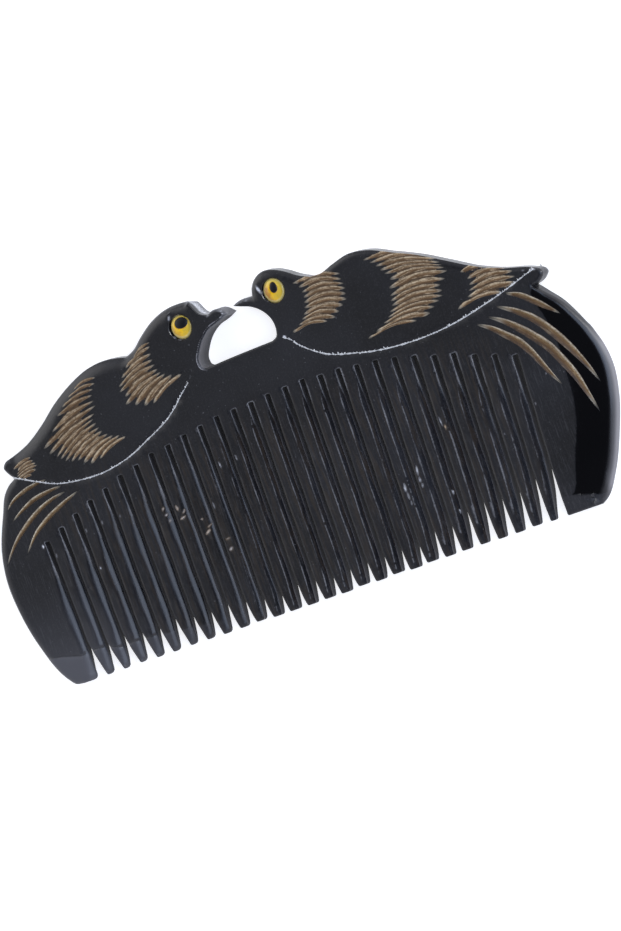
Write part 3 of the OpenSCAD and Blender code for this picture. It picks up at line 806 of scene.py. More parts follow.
def nick_and_glint_values(points):
    """Depth, paleness and brownness of the chips and the painted glints at each point."""
    values = np.zeros((len(points), 3))
    for x, y, half_length, half_width, turn, *strengths in NICKS_AND_GLINTS:
        turn = math.radians(turn)
        dx, dy = points[:, 0] - x, points[:, 1] - y
        a = (dx * math.cos(turn) + dy * math.sin(turn)) / half_length
        b = (dy * math.cos(turn) - dx * math.sin(turn)) / half_width
        share = np.clip(1.1 - np.hypot(a, b) / 0.75, 0, 0.8) / 0.8
        for column, strength in enumerate(strengths):
            values[:, column] = np.maximum(values[:, column], strength * share)
    return values


def plan_mesh(cuts):
    """Triangulates the plate's plan: its points, its triangles, and the finder of its edges."""
    outer = plate_loop()
    loops = [outer, socket_loop(LEFT_EYE), socket_loop(RIGHT_EYE)]
    finder = EdgeFinder(loops)
    rings = ring_points(loops, finder)
    rings = rings[inside_loop(rings, outer)]
    engraved, edges = cut_points(cuts, finder, outer)
    fixed = np.concatenate(loops)[:, :2]
    columns, rows = np.meshgrid(np.arange(-76, 76, FILL_STEP), np.arange(0, 70, 1))
    columns = columns + (np.arange(rows.shape[0]) % 2)[:, None] * FILL_STEP / 2
    fill = np.stack([columns.ravel(), rows.ravel()], 1)
    features = feature_points()
    features = features[inside_loop(features, outer)]
    features = features[finder.look(features)[:, 0] > 0.1]
    fill = fill[inside_loop(fill, outer)]
    look = finder.look(fill)
    fill = fill[look[:, 0] > np.minimum(look[:, 1] * 1.35, 0.3)]
    rings = thin_out(rings, engraved, RING_ROOM)
    features = thin_out(features, np.concatenate([engraved, rings]), FEATURE_ROOM)
    fill = thin_out(fill, np.concatenate([engraved, rings, features]), FILL_ROOM)
    points = np.concatenate([fixed, engraved, rings, features, fill])
    first = len(fixed)
    edges = [(a + first, b + first) for a, b in edges]
    size = len(outer)
    faces = [list(range(size))[::-1]]
    for k in (0, 1):
        faces.append(list(range(size + SOCKET_POINTS * k, size + SOCKET_POINTS * (k + 1))))
    result = delaunay_2d_cdt([Vector(point) for point in points], edges, faces, 0, 1e-5)
    places = np.array([tuple(vertex) for vertex in result[0]])
    triangles = np.array([face for face, owner in zip(result[2], result[5]) if tuple(owner) == (0,)])
    return places, triangles, finder


def cut_depths(places, cuts):
    """How deep the deepest cut is at each point."""
    depth = np.zeros(len(places))
    for cut in cuts:
        near = cut.near(places)
        if len(near) == 0:
            continue
        _, across, half = cut.place(places[near])
        bowl = np.clip(1 - np.abs(across + 0.25 * (1 - across ** 2)) ** 1.6, 0, 1)
        fullness = np.clip(half / cut.widest, 0, 1) ** 0.7
        depth[near] = np.maximum(depth[near], cut.depth * bowl * fullness * (np.abs(across) < 0.999))
    return depth


def plate_cuts(sizes):
    """Every cut in the plate's face: feathers, plumes, chalk grooves and the groove by the throat."""
    dice = random.Random(SEED + 1)
    cuts = []
    for band in FEATHER_BANDS:
        cuts.extend(band_cuts(band, dice, sizes.feather_depth / MM))
    for row in PLUMES:
        cuts.append(plume_cut(row, sizes.plume_depth / MM))
    for route in (LEFT_BELLY, RIGHT_BELLY):
        cuts.append(belly_groove(route, sizes.chalk_width / MM, 0.12))
    cuts.append(belly_groove(THROAT_GROOVE, 0.28, 0.35))
    return cuts


def build_plate(cuts):
    """The comb's plate as one closed mesh, carved alike on both faces."""
    places, triangles, finder = plan_mesh(cuts)
    look = finder.look(places)
    share = np.clip(1 - look[:, 0] / look[:, 1], 0, 1)
    straight = np.clip(look[:, 6] * 3, 0, 1)
    rounding = look[:, 2] * (
        (1 - look[:, 3]) * (1 - np.sqrt(np.maximum(0, 1 - share ** 2)))
        + look[:, 3] * (share ** 2 * (1 - straight) + share * straight)
    )
    depth = cut_depths(places, cuts)
    nicks_and_glints = nick_and_glint_values(places)
    front = front_height(places) - rounding - depth - nicks_and_glints[:, 0]
    back = profile(BACK_PROFILE, places[:, 1]) + look[:, 5] * rounding + depth
    back = np.minimum(back, np.maximum(front - 0.4, 0))
    # Every triangle of the front faces up
    corner = places[triangles]
    turn = np.cross(corner[:, 1] - corner[:, 0], corner[:, 2] - corner[:, 0])
    triangles = np.where((turn > 0)[:, None], triangles, triangles[:, ::-1])
    vertices, faces, source = close_plate(places, triangles, front, back)
    return places, triangles, vertices, faces, look, nicks_and_glints, source


def close_plate(places, triangles, front, back):
    """Joins the front and the back by walls: points, faces, and the plan's point under each point."""
    sides = np.concatenate([triangles[:, [0, 1]], triangles[:, [1, 2]], triangles[:, [2, 0]]])
    keys = {tuple(side) for side in sides.tolist()}
    rim = sorted(side for side in keys if (side[1], side[0]) not in keys)
    rim_points = np.unique(rim)
    vertices = [np.column_stack([places, front]), np.column_stack([places, back])]
    for level in range(1, WALL_ROWS + 1):
        mix = level / (WALL_ROWS + 1)
        height = front[rim_points] * (1 - mix) + back[rim_points] * mix
        vertices.append(np.column_stack([places[rim_points], height]))
    count = len(places)
    between = 2 * count + np.arange(WALL_ROWS * len(rim_points)).reshape(WALL_ROWS, -1)
    rows = np.vstack([rim_points, between, rim_points + count])
    start, end = np.searchsorted(rim_points, rim).T
    walls = np.stack([rows[:-1, end], rows[:-1, start], rows[1:, start], rows[1:, end]], -1)
    walls = walls.transpose(1, 0, 2).reshape(-1, 4)
    faces = triangles.tolist() + (triangles[:, ::-1] + count).tolist() + walls.tolist()
    source = np.concatenate([np.arange(count), np.arange(count)] + [rim_points] * WALL_ROWS)
    return np.concatenate(vertices), faces, source


def cut_of_triangles(places, triangles, cuts):
    """For each triangle of the plan, the cut it lies in, or none."""
    middle = places[triangles].mean(1)
    owner = np.full(len(triangles), -1)
    best = np.full(len(triangles), 1.25)
    for index, cut in enumerate(cuts):
        near = cut.near(middle)
        if len(near) == 0:
            continue
        along, across, _ = cut.place(middle[near])
        limit = np.where((along > 0.3) & (along < cut.along[-1] - 0.3), 1.25, 1.0)
        if cut.kind != "feather":
            limit = np.full(len(near), 1.0)
        better = (np.abs(across) < best[near]) & (np.abs(across) < limit)
        owner[near[better]] = index
        best[near[better]] = np.abs(across[better])
    return owner


def to_frame(vertices):
    """From drawn millimetres to the comb's place in the shared frame, in metres."""
    low, high = DRAWN_LOW, DRAWN_HIGH
    factor = (PLATE_HIGH.x - PLATE_LOW.x) / (high[0] - low[0])
    moved = vertices.copy()
    moved[:, 0] = (vertices[:, 0] - (low[0] + high[0]) / 2) * factor
    moved[:, 1] = (vertices[:, 1] - (low[1] + high[1]) / 2) * factor
    moved[:, 2] = vertices[:, 2] * MM
    return moved


def new_piece(name, vertices, faces, materials=(), edges=()):
    """A mesh object at the origin, from points in drawn millimetres."""
    mesh = bpy.data.meshes.new(name)
    mesh.from_pydata(to_frame(np.array(vertices, float)).tolist(), edges, faces)
    mesh.update()
    piece = bpy.data.objects.new(name, mesh)
    bpy.context.scene.collection.objects.link(piece)
    for material in materials:
        mesh.materials.append(material)
    return piece


def shade(mesh, degrees):
    """Shades a mesh smoothly, with crisp edges where its faces meet at a wider angle."""
    mesh.polygons.foreach_set("use_smooth", np.ones(len(mesh.polygons), bool))
    mesh.set_sharp_from_angle(angle=math.radians(degrees))


# The plate's finishes


def store(mesh, name, values, domain="POINT"):
    """Keeps a value for each point or each face corner on the mesh."""
    mesh.attributes.new(name, "FLOAT", domain).data.foreach_set("value", values)


def finish_numbers(vertices, faces, cuts, owner):
    """The material of each face: 0 on plain horn, 1 and 2 in the cuts, 3 on the matt walls."""
    flat = [CUT_KINDS.get(cuts[k].kind, 0) if k >= 0 else 0 for k in owner]
    middles = vertices[np.array(faces[2 * len(owner):])][:, :, :2].mean(1)
    sawn = within(middles, SAWN_SPAN) & (middles[:, 1] < profile(ROOT_LINE, middles[:, 0]) + 0.7)
    sawn |= within(middles, THROAT_SPAN) & (middles[:, 1] < THROAT_TOP)
    return np.concatenate([flat, flat, np.where(sawn, 3, 0)]).astype(np.int32)


def within(points, spread):
    """Which points lie between two distances from the comb's middle."""
    return (points[:, 0] > spread[0]) & (points[:, 0] < spread[1])


def map_cuts(mesh, places, triangles, cuts, owner):
    """Stores where each face corner lies along and across its cut, and how brown that cut is."""
    size = len(mesh.loops)
    map_values, middle_values, brown_values = np.zeros((size, 2)), np.zeros(size), np.zeros(size)
    for k, cut in enumerate(cuts):
        chosen = np.nonzero(owner == k)[0]
        if cut.kind not in CUT_KINDS or len(chosen) == 0:
            continue
        along, across, _ = cut.place(places[triangles[chosen].ravel()])
        across = np.clip(across, -1.2, 1.2) / 2 + 0.5
        middle = np.sin(math.pi * np.clip(along / cut.along[-1], 0, 1))
        for offset, order in ((0, (0, 1, 2)), (3 * len(triangles), (2, 1, 0))):
            corners = (offset + chosen[:, None] * 3 + np.array(order)[None]).ravel()
            # Each cut reads its own stretch of the fibres
            map_values[corners, 0] = along + 31.7 * k
            map_values[corners, 1] = across
            middle_values[corners] = middle
            brown_values[corners] = cut.brown
    mesh.uv_layers.new(name="cut_map").data.foreach_set("uv", map_values.ravel())
    store(mesh, "cut_middle", middle_values, "CORNER")
    store(mesh, "cut_brown", brown_values, "CORNER")


def store_wear(mesh, places, look, nicks_and_glints, source):
    """Stores how rubbed, brown, polished, sanded and soft each point is, with painted highlights, sheen and
    light.
    """
    share = look[:, 0] / look[:, 1]
    above = places[:, 1] - profile(FACETS, places[:, 0])
    # Pale edges: wear and painted highlights, and a painted highlight line where a ridged edge starts
    edge_wear_and_highlight = look[:, 4] * np.clip(1.15 - share, 0, 1) ** 0.7
    ridge_highlight = look[:, 6] * np.clip(1 - np.abs(share - 1) / 0.2, 0, 1)
    matt = np.clip(1.1 - share, 0, 1) * np.clip((places[:, 0] - 60) / 5, 0, 1) * (places[:, 1] < 46)
    # The right end's matt rim is painted with a grey sheen, strongest below its shoulder
    soft = matt * np.interp(places[:, 1], (31, 37, 46), (1, 0.62, 0.5))
    roots = profile(ROOT_LINE, places[:, 0])
    # Painted light on the sawn walls: strong by the throats, growing towards the tips in the saw cuts
    by_throat = within(places, THROAT_SPAN) & (places[:, 1] > roots + 5)
    finishes = {
        "rim": np.clip(1.2 - share, 0, 1) * (1 - matt),
        "wear_and_highlight": np.maximum(np.maximum(edge_wear_and_highlight, ridge_highlight), nicks_and_glints[:, 1]),
        "brown": nicks_and_glints[:, 2],
        "polish": np.clip(slope_share(places) * 30, 0, 1) * (above > -0.05) * (1 - 0.8 * matt),
        "sanded": np.clip(-above / 0.15, 0, 1) * profile(FACETS, places[:, 0], 2),
        "matt_and_painted_sheen": np.clip(soft * 0.97, 0, 1) ** 3.7,
        "painted_wall_light": np.where(by_throat, 0.5, 0.2 * np.clip((roots - 3 - places[:, 1]) / 8, 0, 1)),
    }
    count = len(places)
    between = (len(source) - 2 * count) // 2
    counts = (count, count, between, between)
    # How much light reaches the front edge, the back edge and the two rows of points between them
    depths = np.repeat((1, 0.1, 0.6, 0.2), counts)
    # The forehead's wall carries a painted highlight in its lower half only
    brow_highlight = ((places[:, 1] > BROW_FOOT) & (look[:, 4] > 0.6))[source]
    lower = np.repeat((0, 1, 0, 0.4), counts)
    for name, values in finishes.items():
        whole = values[source]
        if name == "polish":
            whole[count:2 * count] = 0
        if name == "painted_wall_light":
            whole = whole * depths
        if name == "wear_and_highlight":
            whole = np.where(brow_highlight, whole * lower, whole)
        store(mesh, name, whole)


def sharpen(mesh, finishes):
    """Keeps edges crisp where two finishes meet, and where the walls meet the faces."""
    sizes = np.empty(len(mesh.polygons), np.int32)
    mesh.polygons.foreach_get("loop_total", sizes)
    edges = np.empty(len(mesh.loops), np.int32)
    mesh.loops.foreach_get("edge_index", edges)
    finish = np.repeat(finishes, sizes)
    low, high = np.full(len(mesh.edges), WALL), np.full(len(mesh.edges), -1)
    np.minimum.at(low, edges, finish)
    np.maximum.at(high, edges, finish)
    sharp = np.empty(len(mesh.edges), bool)
    mesh.edges.foreach_get("use_edge_sharp", sharp)
    mesh.edges.foreach_set("use_edge_sharp", sharp | (low != high))


# Materials


def feed(tree, node, inputs):
    """Sets a node's inputs, as values or as other nodes' outputs."""
    for key, value in inputs.items():
        if isinstance(value, bpy.types.NodeSocket):
            tree.links.new(value, node.inputs[key])
        else:
            node.inputs[key].default_value = value


def grow(tree, kind, inputs=None, **settings):
    """Adds a node: its settings, then its inputs."""
    node = tree.nodes.new(kind)
    for key, value in settings.items():
        setattr(node, key, value)
    feed(tree, node, inputs or {})
    return node


def start_material(name):
    """A material with its bare surface node, and the place on the piece that its patterns follow."""
    material = bpy.data.materials.new(name)
    material.use_nodes = True
    tree = material.node_tree
    tree.nodes.clear()
    surface = grow(tree, "ShaderNodeBsdfPrincipled")
    grow(tree, "ShaderNodeOutputMaterial", {0: surface.outputs[0]})
    place = grow(tree, "ShaderNodeTexCoord").outputs["Object"]
    return material, tree, surface, place


def ramp(tree, factor, stops):
    """A colour ramp through (place, colour) stops. A colour of one number is a grey."""
    node = grow(tree, "ShaderNodeValToRGB", {0: factor})
    elements = node.color_ramp.elements
    while len(elements) < len(stops):
        elements.new(0.5)
    for element, (place, colour) in zip(elements, stops):
        element.position = place
        element.color = (*colour[:3], 1) if len(colour) >= 3 else (colour[0], colour[0], colour[0], 1)
    return node.outputs[0]


def noise(tree, source, scale, detail=3.0, roughness=0.5):
    """Noise over the given coordinates, with one scale or with one for each direction."""
    if isinstance(scale, tuple):
        source = grow(tree, "ShaderNodeMapping", {0: source, "Scale": scale}).outputs[0]
        scale = 1
    inputs = {"Vector": source, "Scale": scale, "Detail": detail, "Roughness": roughness}
    return grow(tree, "ShaderNodeTexNoise", inputs).outputs["Fac"]


def span(tree, value, low, high, to_low=0.0, to_high=1.0):
    """Maps a value's span onto another, held at its ends."""
    inputs = {0: value, 1: low, 2: high, 3: to_low, 4: to_high}
    return grow(tree, "ShaderNodeMapRange", inputs).outputs[0]


def maths(tree, operation, first, second):
    """One sum on two values."""
    return grow(tree, "ShaderNodeMath", {0: first, 1: second}, operation=operation).outputs[0]


def times(tree, product, *values):
    """The product of two or more values."""
    for value in values:
        product = maths(tree, "MULTIPLY", product, value)
    return product


def blend_colours(tree, cover, below, above):
    """Mixes two colours."""
    inputs = {0: cover}
    for key, colour in ((6, below), (7, above)):
        inputs[key] = colour if isinstance(colour, bpy.types.NodeSocket) else (*colour[:3], 1)
    return grow(tree, "ShaderNodeMix", inputs, data_type="RGBA").outputs[2]


def layered(tree, colour, layers):
    """A colour under further ones, each with the share of it that shows."""
    for cover, above in layers:
        colour = blend_colours(tree, cover, colour, above)
    return colour


def attribute(tree, name):
    """A value stored on the mesh."""
    return grow(tree, "ShaderNodeAttribute", attribute_name=name).outputs["Fac"]


def ragged(tree, value, pattern, amount):
    """A value made uneven by a pattern round its middle."""
    return maths(tree, "ADD", value, times(tree, maths(tree, "SUBTRACT", pattern, 0.5), amount))


def add_bump(tree, surface, strength, distance, height):
    """Gives a surface the fine relief of a height."""
    inputs = {"Strength": strength, "Distance": distance, "Height": height}
    feed(tree, surface, {"Normal": grow(tree, "ShaderNodeBump", inputs).outputs[0]})


def sawn_material(colours):
    """Walls of the saw cuts: dull black with fine saw marks along the cut, and some painted light."""
    material, tree, surface, place = start_material("sawn_horn")
    marks = noise(tree, place, (900, 260, 5200))
    colour = layered(tree, colours.horn_cloud, [
        (span(tree, marks, 0.35, 0.7), colours.horn_dust),
        # Painted light on the walls, made ragged by the saw marks
        (ragged(tree, attribute(tree, "painted_wall_light"), marks, 0.15), colours.horn_painted_light),
    ])
    feed(tree, surface, {"Base Color": colour, "Roughness": 0.62, "Specular IOR Level": 0.3})
    add_bump(tree, surface, 0.4, 0.00006, marks)
    return material


def horn_material(colours):
    """Black horn: satin faces with long grain, a polished slope, sanded tips, rubbed pale edges, painted
    highlights.
    """
    material, tree, surface, place = start_material("black_horn")
    clouds = noise(tree, place, 55, 4)
    crumbs = noise(tree, place, 2600, 3, 0.6)
    grain = noise(tree, place, (1600, 130, 1600))
    scratches = noise(tree, place, (5200, 260, 5200), 2)
    specks = noise(tree, place, (2300, 1900, 2300), 1)
    names = ("rim", "wear_and_highlight", "polish", "sanded", "brown", "matt_and_painted_sheen")
    rim, wear_and_highlight, polish, sanded, brown, matt_and_painted_sheen = [attribute(tree, name) for name in names]
    apart = grow(tree, "ShaderNodeSeparateXYZ", {0: place})
    sideways, along = apart.outputs[0], apart.outputs[1]
    # Grain shows on the teeth but not on the guards, a paler grey low on the left guard, scratches on the
    # lower half
    fibrous = times(
        tree, span(tree, along, 0.011, 0.001), span(tree, grain, 0.46, 0.64),
        span(tree, sideways, -0.066, -0.05), span(tree, sideways, 0.058, 0.045),
    )
    paler_low = times(tree, span(tree, along, -0.008, -0.03), span(tree, sideways, -0.035, -0.058, 0.15, 0.85))
    streaked = times(tree, span(tree, along, 0.009, 0, 0.25, 1), span(tree, scratches, 0.56, 0.7))
    uneven = ragged(tree, wear_and_highlight, crumbs, 0.7)
    wear_and_highlight_share = times(tree, span(tree, wear_and_highlight, 0.1, 0.3), span(tree, uneven, 0.02, 0.3))
    # Wear, painted highlights and painted glints run from dark grey to near white
    stops = [(0.1, (0.04, 0.04, 0.046)), (0.5, (0.12, 0.12, 0.13)), (0.95, (0.62, 0.63, 0.67))]
    colour = layered(tree, colours.horn, [
        (span(tree, clouds, 0.35, 0.7), colours.horn_cloud),
        (fibrous, colours.horn_grain),
        (span(tree, crumbs, 0.5, 0.72, 0, 0.5), colours.horn_dust),
        (times(tree, paler_low, paler_low, 0.75), colours.horn_sanded),
        (times(tree, streaked, 0.14), colours.horn_scratch),
        (span(tree, specks, 0.74, 0.8, 0, 0.5), colours.horn_scratch),
        (polish, colours.horn_polish),
        (sanded, colours.horn_sanded),
        # The right end's rim: a painted grey sheen
        (matt_and_painted_sheen, colours.horn_painted_light),
        # Worn edges with painted highlights and painted glints
        (wear_and_highlight_share, ramp(tree, uneven, stops)),
        (times(tree, brown, span(tree, crumbs, 0.35, 0.55)), colours.cut_pale),
    ])
    satin = span(tree, clouds, 0.3, 0.7, 0.4, 0.5)
    for value, change in ((rim, -0.24), (polish, -0.3), (sanded, 0.25), (matt_and_painted_sheen, 0.2), (wear_and_highlight_share, 0.3)):
        satin = maths(tree, "ADD", satin, times(tree, value, change))
    feed(tree, surface, {
        "Base Color": colour, "Roughness": span(tree, satin, 0.1, 0.7, 0.1, 0.7),
        "IOR": 1.54, "Specular IOR Level": 0.35,
    })
    height = maths(tree, "ADD", times(tree, grain, 0.6), times(tree, scratches, 0.4))
    add_bump(tree, surface, 0.4, 0.00006, times(tree, height, span(tree, polish, 0, 1, 1, 0.15)))
    return material


def feather_material(colours):
    """Gouge cuts through the horn's black skin: painted highlight on the upper rim, brown painted shade
    below.
    """
    return cut_material(colours, "feather_cut", [
        (0.03, colours.cut_dark), (0.2, colours.cut_brown), (0.42, colours.cut_tan), (0.58, colours.cut_pale),
        (0.7, colours.cut_rim), (0.88, colours.cut_rim), (0.99, colours.cut_dark),
    ], 0.5, 0.65)


def plume_material(colours):
    """Long cuts: a cream painted highlight along the upper rim, then tan, fading to brown painted shade
    below.
    """
    return cut_material(colours, "plume_cut", [
        (0, colours.horn), (0.12, colours.cut_dark), (0.32, colours.cut_brown), (0.54, colours.plume_tan),
        (0.7, colours.plume_pale), (0.8, colours.plume_rim), (0.9, colours.plume_rim),
        (0.98, colours.cut_dark),
    ], 0.2, 0.2)


def cut_material(colours, name, stops, raggedness, lining):
    """Bare horn in a cut: painted shade low, a painted highlight at the upper rim, fibrous, lined and
    speckled.
    """
    material, tree, surface, place = start_material(name)
    uv = grow(tree, "ShaderNodeUVMap", uv_map="cut_map").outputs[0]
    across = grow(tree, "ShaderNodeSeparateXYZ", {0: uv}).outputs[1]
    fibres = noise(tree, uv, (0.7, 6, 1), 4, 0.65)
    lines = noise(tree, uv, (0.4, 4.5, 1), 2)
    patches = noise(tree, uv, (0.35, 0.8, 1), 2)
    speckle = noise(tree, place, 2300, 2, 0.6)
    ends = ragged(tree, attribute(tree, "cut_middle"), fibres, 0.25)
    tinted = layered(tree, ramp(tree, ragged(tree, across, fibres, raggedness), stops), [
        (span(tree, patches, 0.4, 0.7, 0, 0.45), colours.cut_brown),
        (times(tree, attribute(tree, "cut_brown"), 0.5), colours.cut_brown),
        (span(tree, lines, 0.5, 0.6, 0, lining), colours.cut_brown),
        (span(tree, lines, 0.45, 0.35, 0, lining * 0.7), colours.cut_rim),
        (span(tree, speckle, 0.48, 0.62, 0, 0.55), colours.cut_brown),
        (span(tree, ends, 0.45, 0.2, 0, 0.6), colours.cut_tip),
    ])
    faded = blend_colours(tree, span(tree, ends, 0.05, 0.3), colours.horn, tinted)
    feed(tree, surface, {"Base Color": faded, "Roughness": 0.6, "Specular IOR Level": 0.35})
    add_bump(tree, surface, 0.35, 0.00005, fibres)
    return material


def chalk_material(colours):
    """White chalk rubbed into a groove."""
    material, tree, surface, place = start_material("rubbed_chalk")
    grains = noise(tree, place, 2600, 4, 0.6)
    colour = blend_colours(tree, span(tree, grains, 0.35, 0.65), colours.chalk_shade, colours.chalk)
    feed(tree, surface, {"Base Color": colour, "Roughness": 0.9, "Specular IOR Level": 0.2})
    add_bump(tree, surface, 0.6, 0.00008, grains)
    return material


def iris_material(colours):
    """Clear yellow inlay: painted shade on one side and round the pupil, painted light on another, a paler
    rim.
    """
    material, tree, surface, place = start_material("yellow_inlay")
    clouds = noise(tree, place, 900)
    amber = ragged(tree, attribute(tree, "amber"), clouds, 0.9)
    border = ragged(tree, attribute(tree, "border"), clouds, 0.25)
    stops = [(0.1, colours.eye_olive), (0.4, colours.eye_yellow), (0.85, colours.eye_amber)]
    colour = layered(tree, ramp(tree, amber, stops), [
        (attribute(tree, "pale"), colours.eye_lemon),
        (span(tree, border, 0.68, 0.8, 0, 0.8), colours.eye_rim),
        (span(tree, border, 0.1, 0.02, 0, 0.8), colours.eye_amber),
    ])
    feed(tree, surface, {
        "Base Color": colour, "Roughness": 0.25, "Specular IOR Level": 0.35,
        "Coat Weight": 0.6, "Coat Roughness": 0.05,
    })
    add_bump(tree, surface, 0.15, 0.0001, clouds)
    return material


def pupil_material(colours):
    """Glossy black inlay."""
    material, tree, surface, place = start_material("black_inlay")
    colour = blend_colours(tree, noise(tree, place, 900, 2), colours.pupil, colours.horn_cloud)
    feed(tree, surface, {"Base Color": colour, "Roughness": 0.35, "Specular IOR Level": 0.25})
    return material


def floor_material(colours):
    """Plain pale floor."""
    material, tree, surface, place = start_material("pale_floor")
    cover = span(tree, noise(tree, place, 3, 2), 0.3, 0.7, 0, 0.15)
    feed(tree, surface, {
        "Base Color": blend_colours(tree, cover, colours.floor, (0.9, 0.9, 0.92)), "Roughness": 0.8,
        "Specular IOR Level": 0.2, "Emission Color": (1, 0.99, 0.98, 1), "Emission Strength": 0.66,
    })
    return material


# Eyes


def pupil_reach(shape, turns):
    """Distance from the pupil's middle to its rim: its shape is width, height and pointedness."""
    width, height, point = shape
    oval = 1 / np.sqrt((np.cos(turns) / (width / 2)) ** 2 + (np.sin(turns) / (height / 2)) ** 2)
    return oval * (1 + point * np.maximum(0, np.sin(turns)) ** 4)


def dome_height(distance):
    """Height of an eye's dome over the surface, at a distance from the eye's middle."""
    rise = EYE_RIM_DEPTH - EYE_TOP_DEPTH
    return THICKNESS - EYE_RIM_DEPTH + rise * (1 - (distance / IRIS_RADIUS) ** 2)


def with_back(rings):
    """Rings of points on the front, then the same rings mirrored to the back in reverse."""
    return rings + [np.column_stack([row[:, :2], THICKNESS - row[:, 2]]) for row in reversed(rings)]


def ring_faces(first, second, count):
    """Faces between two rings of points, given the number of each ring's first point."""
    following = [(k + 1) % count for k in range(count)]
    return [(first + k, second + k, second + m, first + m) for k, m in enumerate(following)]


def eye_ring(middle, pupil_middle, shape, spread):
    """The iris as a closed ring right through the plate: points in drawn mm, and faces."""
    turns = full_turn(IRIS_POINTS)
    hole = round_plan(pupil_middle, pupil_reach(shape, turns) + 0.03, turns)
    rim = middle + IRIS_RADIUS * np.array(spread) * np.stack([np.cos(turns), np.sin(turns)], 1)
    rows = []
    for share in RING_SHARES:
        plan = hole * (1 - share) + rim * share
        distance = np.linalg.norm(plan - middle, axis=1)
        soft = 0.08 * (max(0, 1 - share / 0.1) ** 2 + max(0, (share - 0.9) / 0.1) ** 2)
        rows.append(np.column_stack([plan, dome_height(distance) - soft]))
    rings = with_back(rows)
    faces = []
    for i in range(len(rings)):
        j = (i + 1) % len(rings)
        faces += ring_faces(i * IRIS_POINTS, j * IRIS_POINTS, IRIS_POINTS)
    return np.concatenate(rings), faces


def eye_plug(pupil_middle, middle, shape):
    """The pupil as a closed rod right through the iris, domed at both ends."""
    count = PUPIL_POINTS
    turns = full_turn(count)
    reach = pupil_reach(shape, turns)
    rings = []
    for share in (0.2, 0.5, 0.75, 0.9, 1):
        plan = round_plan(pupil_middle, reach * share, turns)
        distance = np.linalg.norm(plan - middle, axis=1)
        rings.append(np.column_stack([plan, dome_height(distance) + 0.03 - 0.08 * max(0, share - 0.8) / 0.2]))
    rings = with_back(rings)
    offset = np.linalg.norm(np.array(pupil_middle) - middle)
    top = (*pupil_middle, dome_height(offset) + 0.03)
    vertices = np.concatenate(rings + [[top, (*pupil_middle, THICKNESS - top[2])]])
    faces = []
    for i in range(len(rings) - 1):
        faces += ring_faces(i * count, (i + 1) * count, count)
    last = (len(rings) - 1) * count
    for k in range(count):
        m = (k + 1) % count
        faces.append((len(vertices) - 2, k, m))
        faces.append((len(vertices) - 1, last + m, last + k))
    return vertices, faces


# Chalk lines


def random_vector(tree, seed, low, high):
    """A random vector between two corners."""
    inputs = {"Seed": seed, 0: low, 1: high}
    return grow(tree, "FunctionNodeRandomValue", inputs, data_type="FLOAT_VECTOR").outputs[0]


def chalk_tree(material):
    """Geometry nodes that lay a ragged chalk line along a route of edges."""
    tree = bpy.data.node_groups.new("chalk_line", "GeometryNodeTree")
    tree.interface.new_socket("Geometry", in_out="INPUT", socket_type="NodeSocketGeometry")
    sizes = {"Width": 0.00045, "Height": 0.00012, "Crumb Spacing": 0.0007, "Crumb Size": 0.0002}
    for name, value in sizes.items():
        socket = tree.interface.new_socket(name, in_out="INPUT", socket_type="NodeSocketFloat")
        socket.default_value = value
    tree.interface.new_socket("Geometry", in_out="OUTPUT", socket_type="NodeSocketGeometry")
    source = grow(tree, "NodeGroupInput").outputs
    curve = grow(tree, "GeometryNodeMeshToCurve", {0: source["Geometry"]}).outputs[0]
    fine = grow(tree, "GeometryNodeResampleCurve", {"Curve": curve, "Length": 0.00022}, mode="LENGTH")
    place = grow(tree, "GeometryNodeInputPosition").outputs[0]
    radius = span(tree, noise(tree, place, 1500, 2), 0.33, 0.68, 0.35, 1.7)
    half = times(tree, source["Width"], 0.5)
    ring = grow(tree, "GeometryNodeCurvePrimitiveCircle", {"Resolution": 6, "Radius": half}).outputs[0]
    flat = maths(tree, "DIVIDE", source["Height"], source["Width"])
    scale = grow(tree, "ShaderNodeCombineXYZ", {0: 1.0, 1: flat, 2: 1.0}).outputs[0]
    ring = grow(tree, "GeometryNodeTransform", {"Geometry": ring, "Scale": scale}).outputs[0]
    line = grow(tree, "GeometryNodeCurveToMesh", {
        "Curve": fine.outputs[0], "Profile Curve": ring, "Scale": radius, "Fill Caps": True,
    })
    spread = {"Curve": curve, "Length": source["Crumb Spacing"]}
    points = grow(tree, "GeometryNodeCurveToPoints", spread, mode="LENGTH")
    ball = {"Radius": source["Crumb Size"], "Subdivisions": 1}
    crumb = grow(tree, "GeometryNodeMeshIcoSphere", ball).outputs[0]
    size = random_vector(tree, 5, (0.4, 0.5, 0.3), (1.3, 1.7, 0.45))
    turn = random_vector(tree, 9, (0, 0, -0.7), (0, 0, 0.7))
    offset = random_vector(tree, 3, (-0.0002, -0.00005, 0), (0.0002, 0.0003, 0.00002))
    moved = grow(tree, "GeometryNodeSetPosition", {"Geometry": points.outputs[0], "Offset": offset})
    crumbs = grow(tree, "GeometryNodeInstanceOnPoints", {
        "Points": moved.outputs[0], "Instance": crumb, "Rotation": turn, "Scale": size,
    }).outputs[0]
    joined = grow(tree, "GeometryNodeJoinGeometry")
    tree.links.new(line.outputs[0], joined.inputs[0])
    tree.links.new(crumbs, joined.inputs[0])
    solid = grow(tree, "GeometryNodeRealizeInstances", {0: joined.outputs[0]}).outputs[0]
    finished = grow(tree, "GeometryNodeSetMaterial", {"Geometry": solid, "Material": material}).outputs[0]
    grow(tree, "NodeGroupOutput", {0: finished})
    return tree


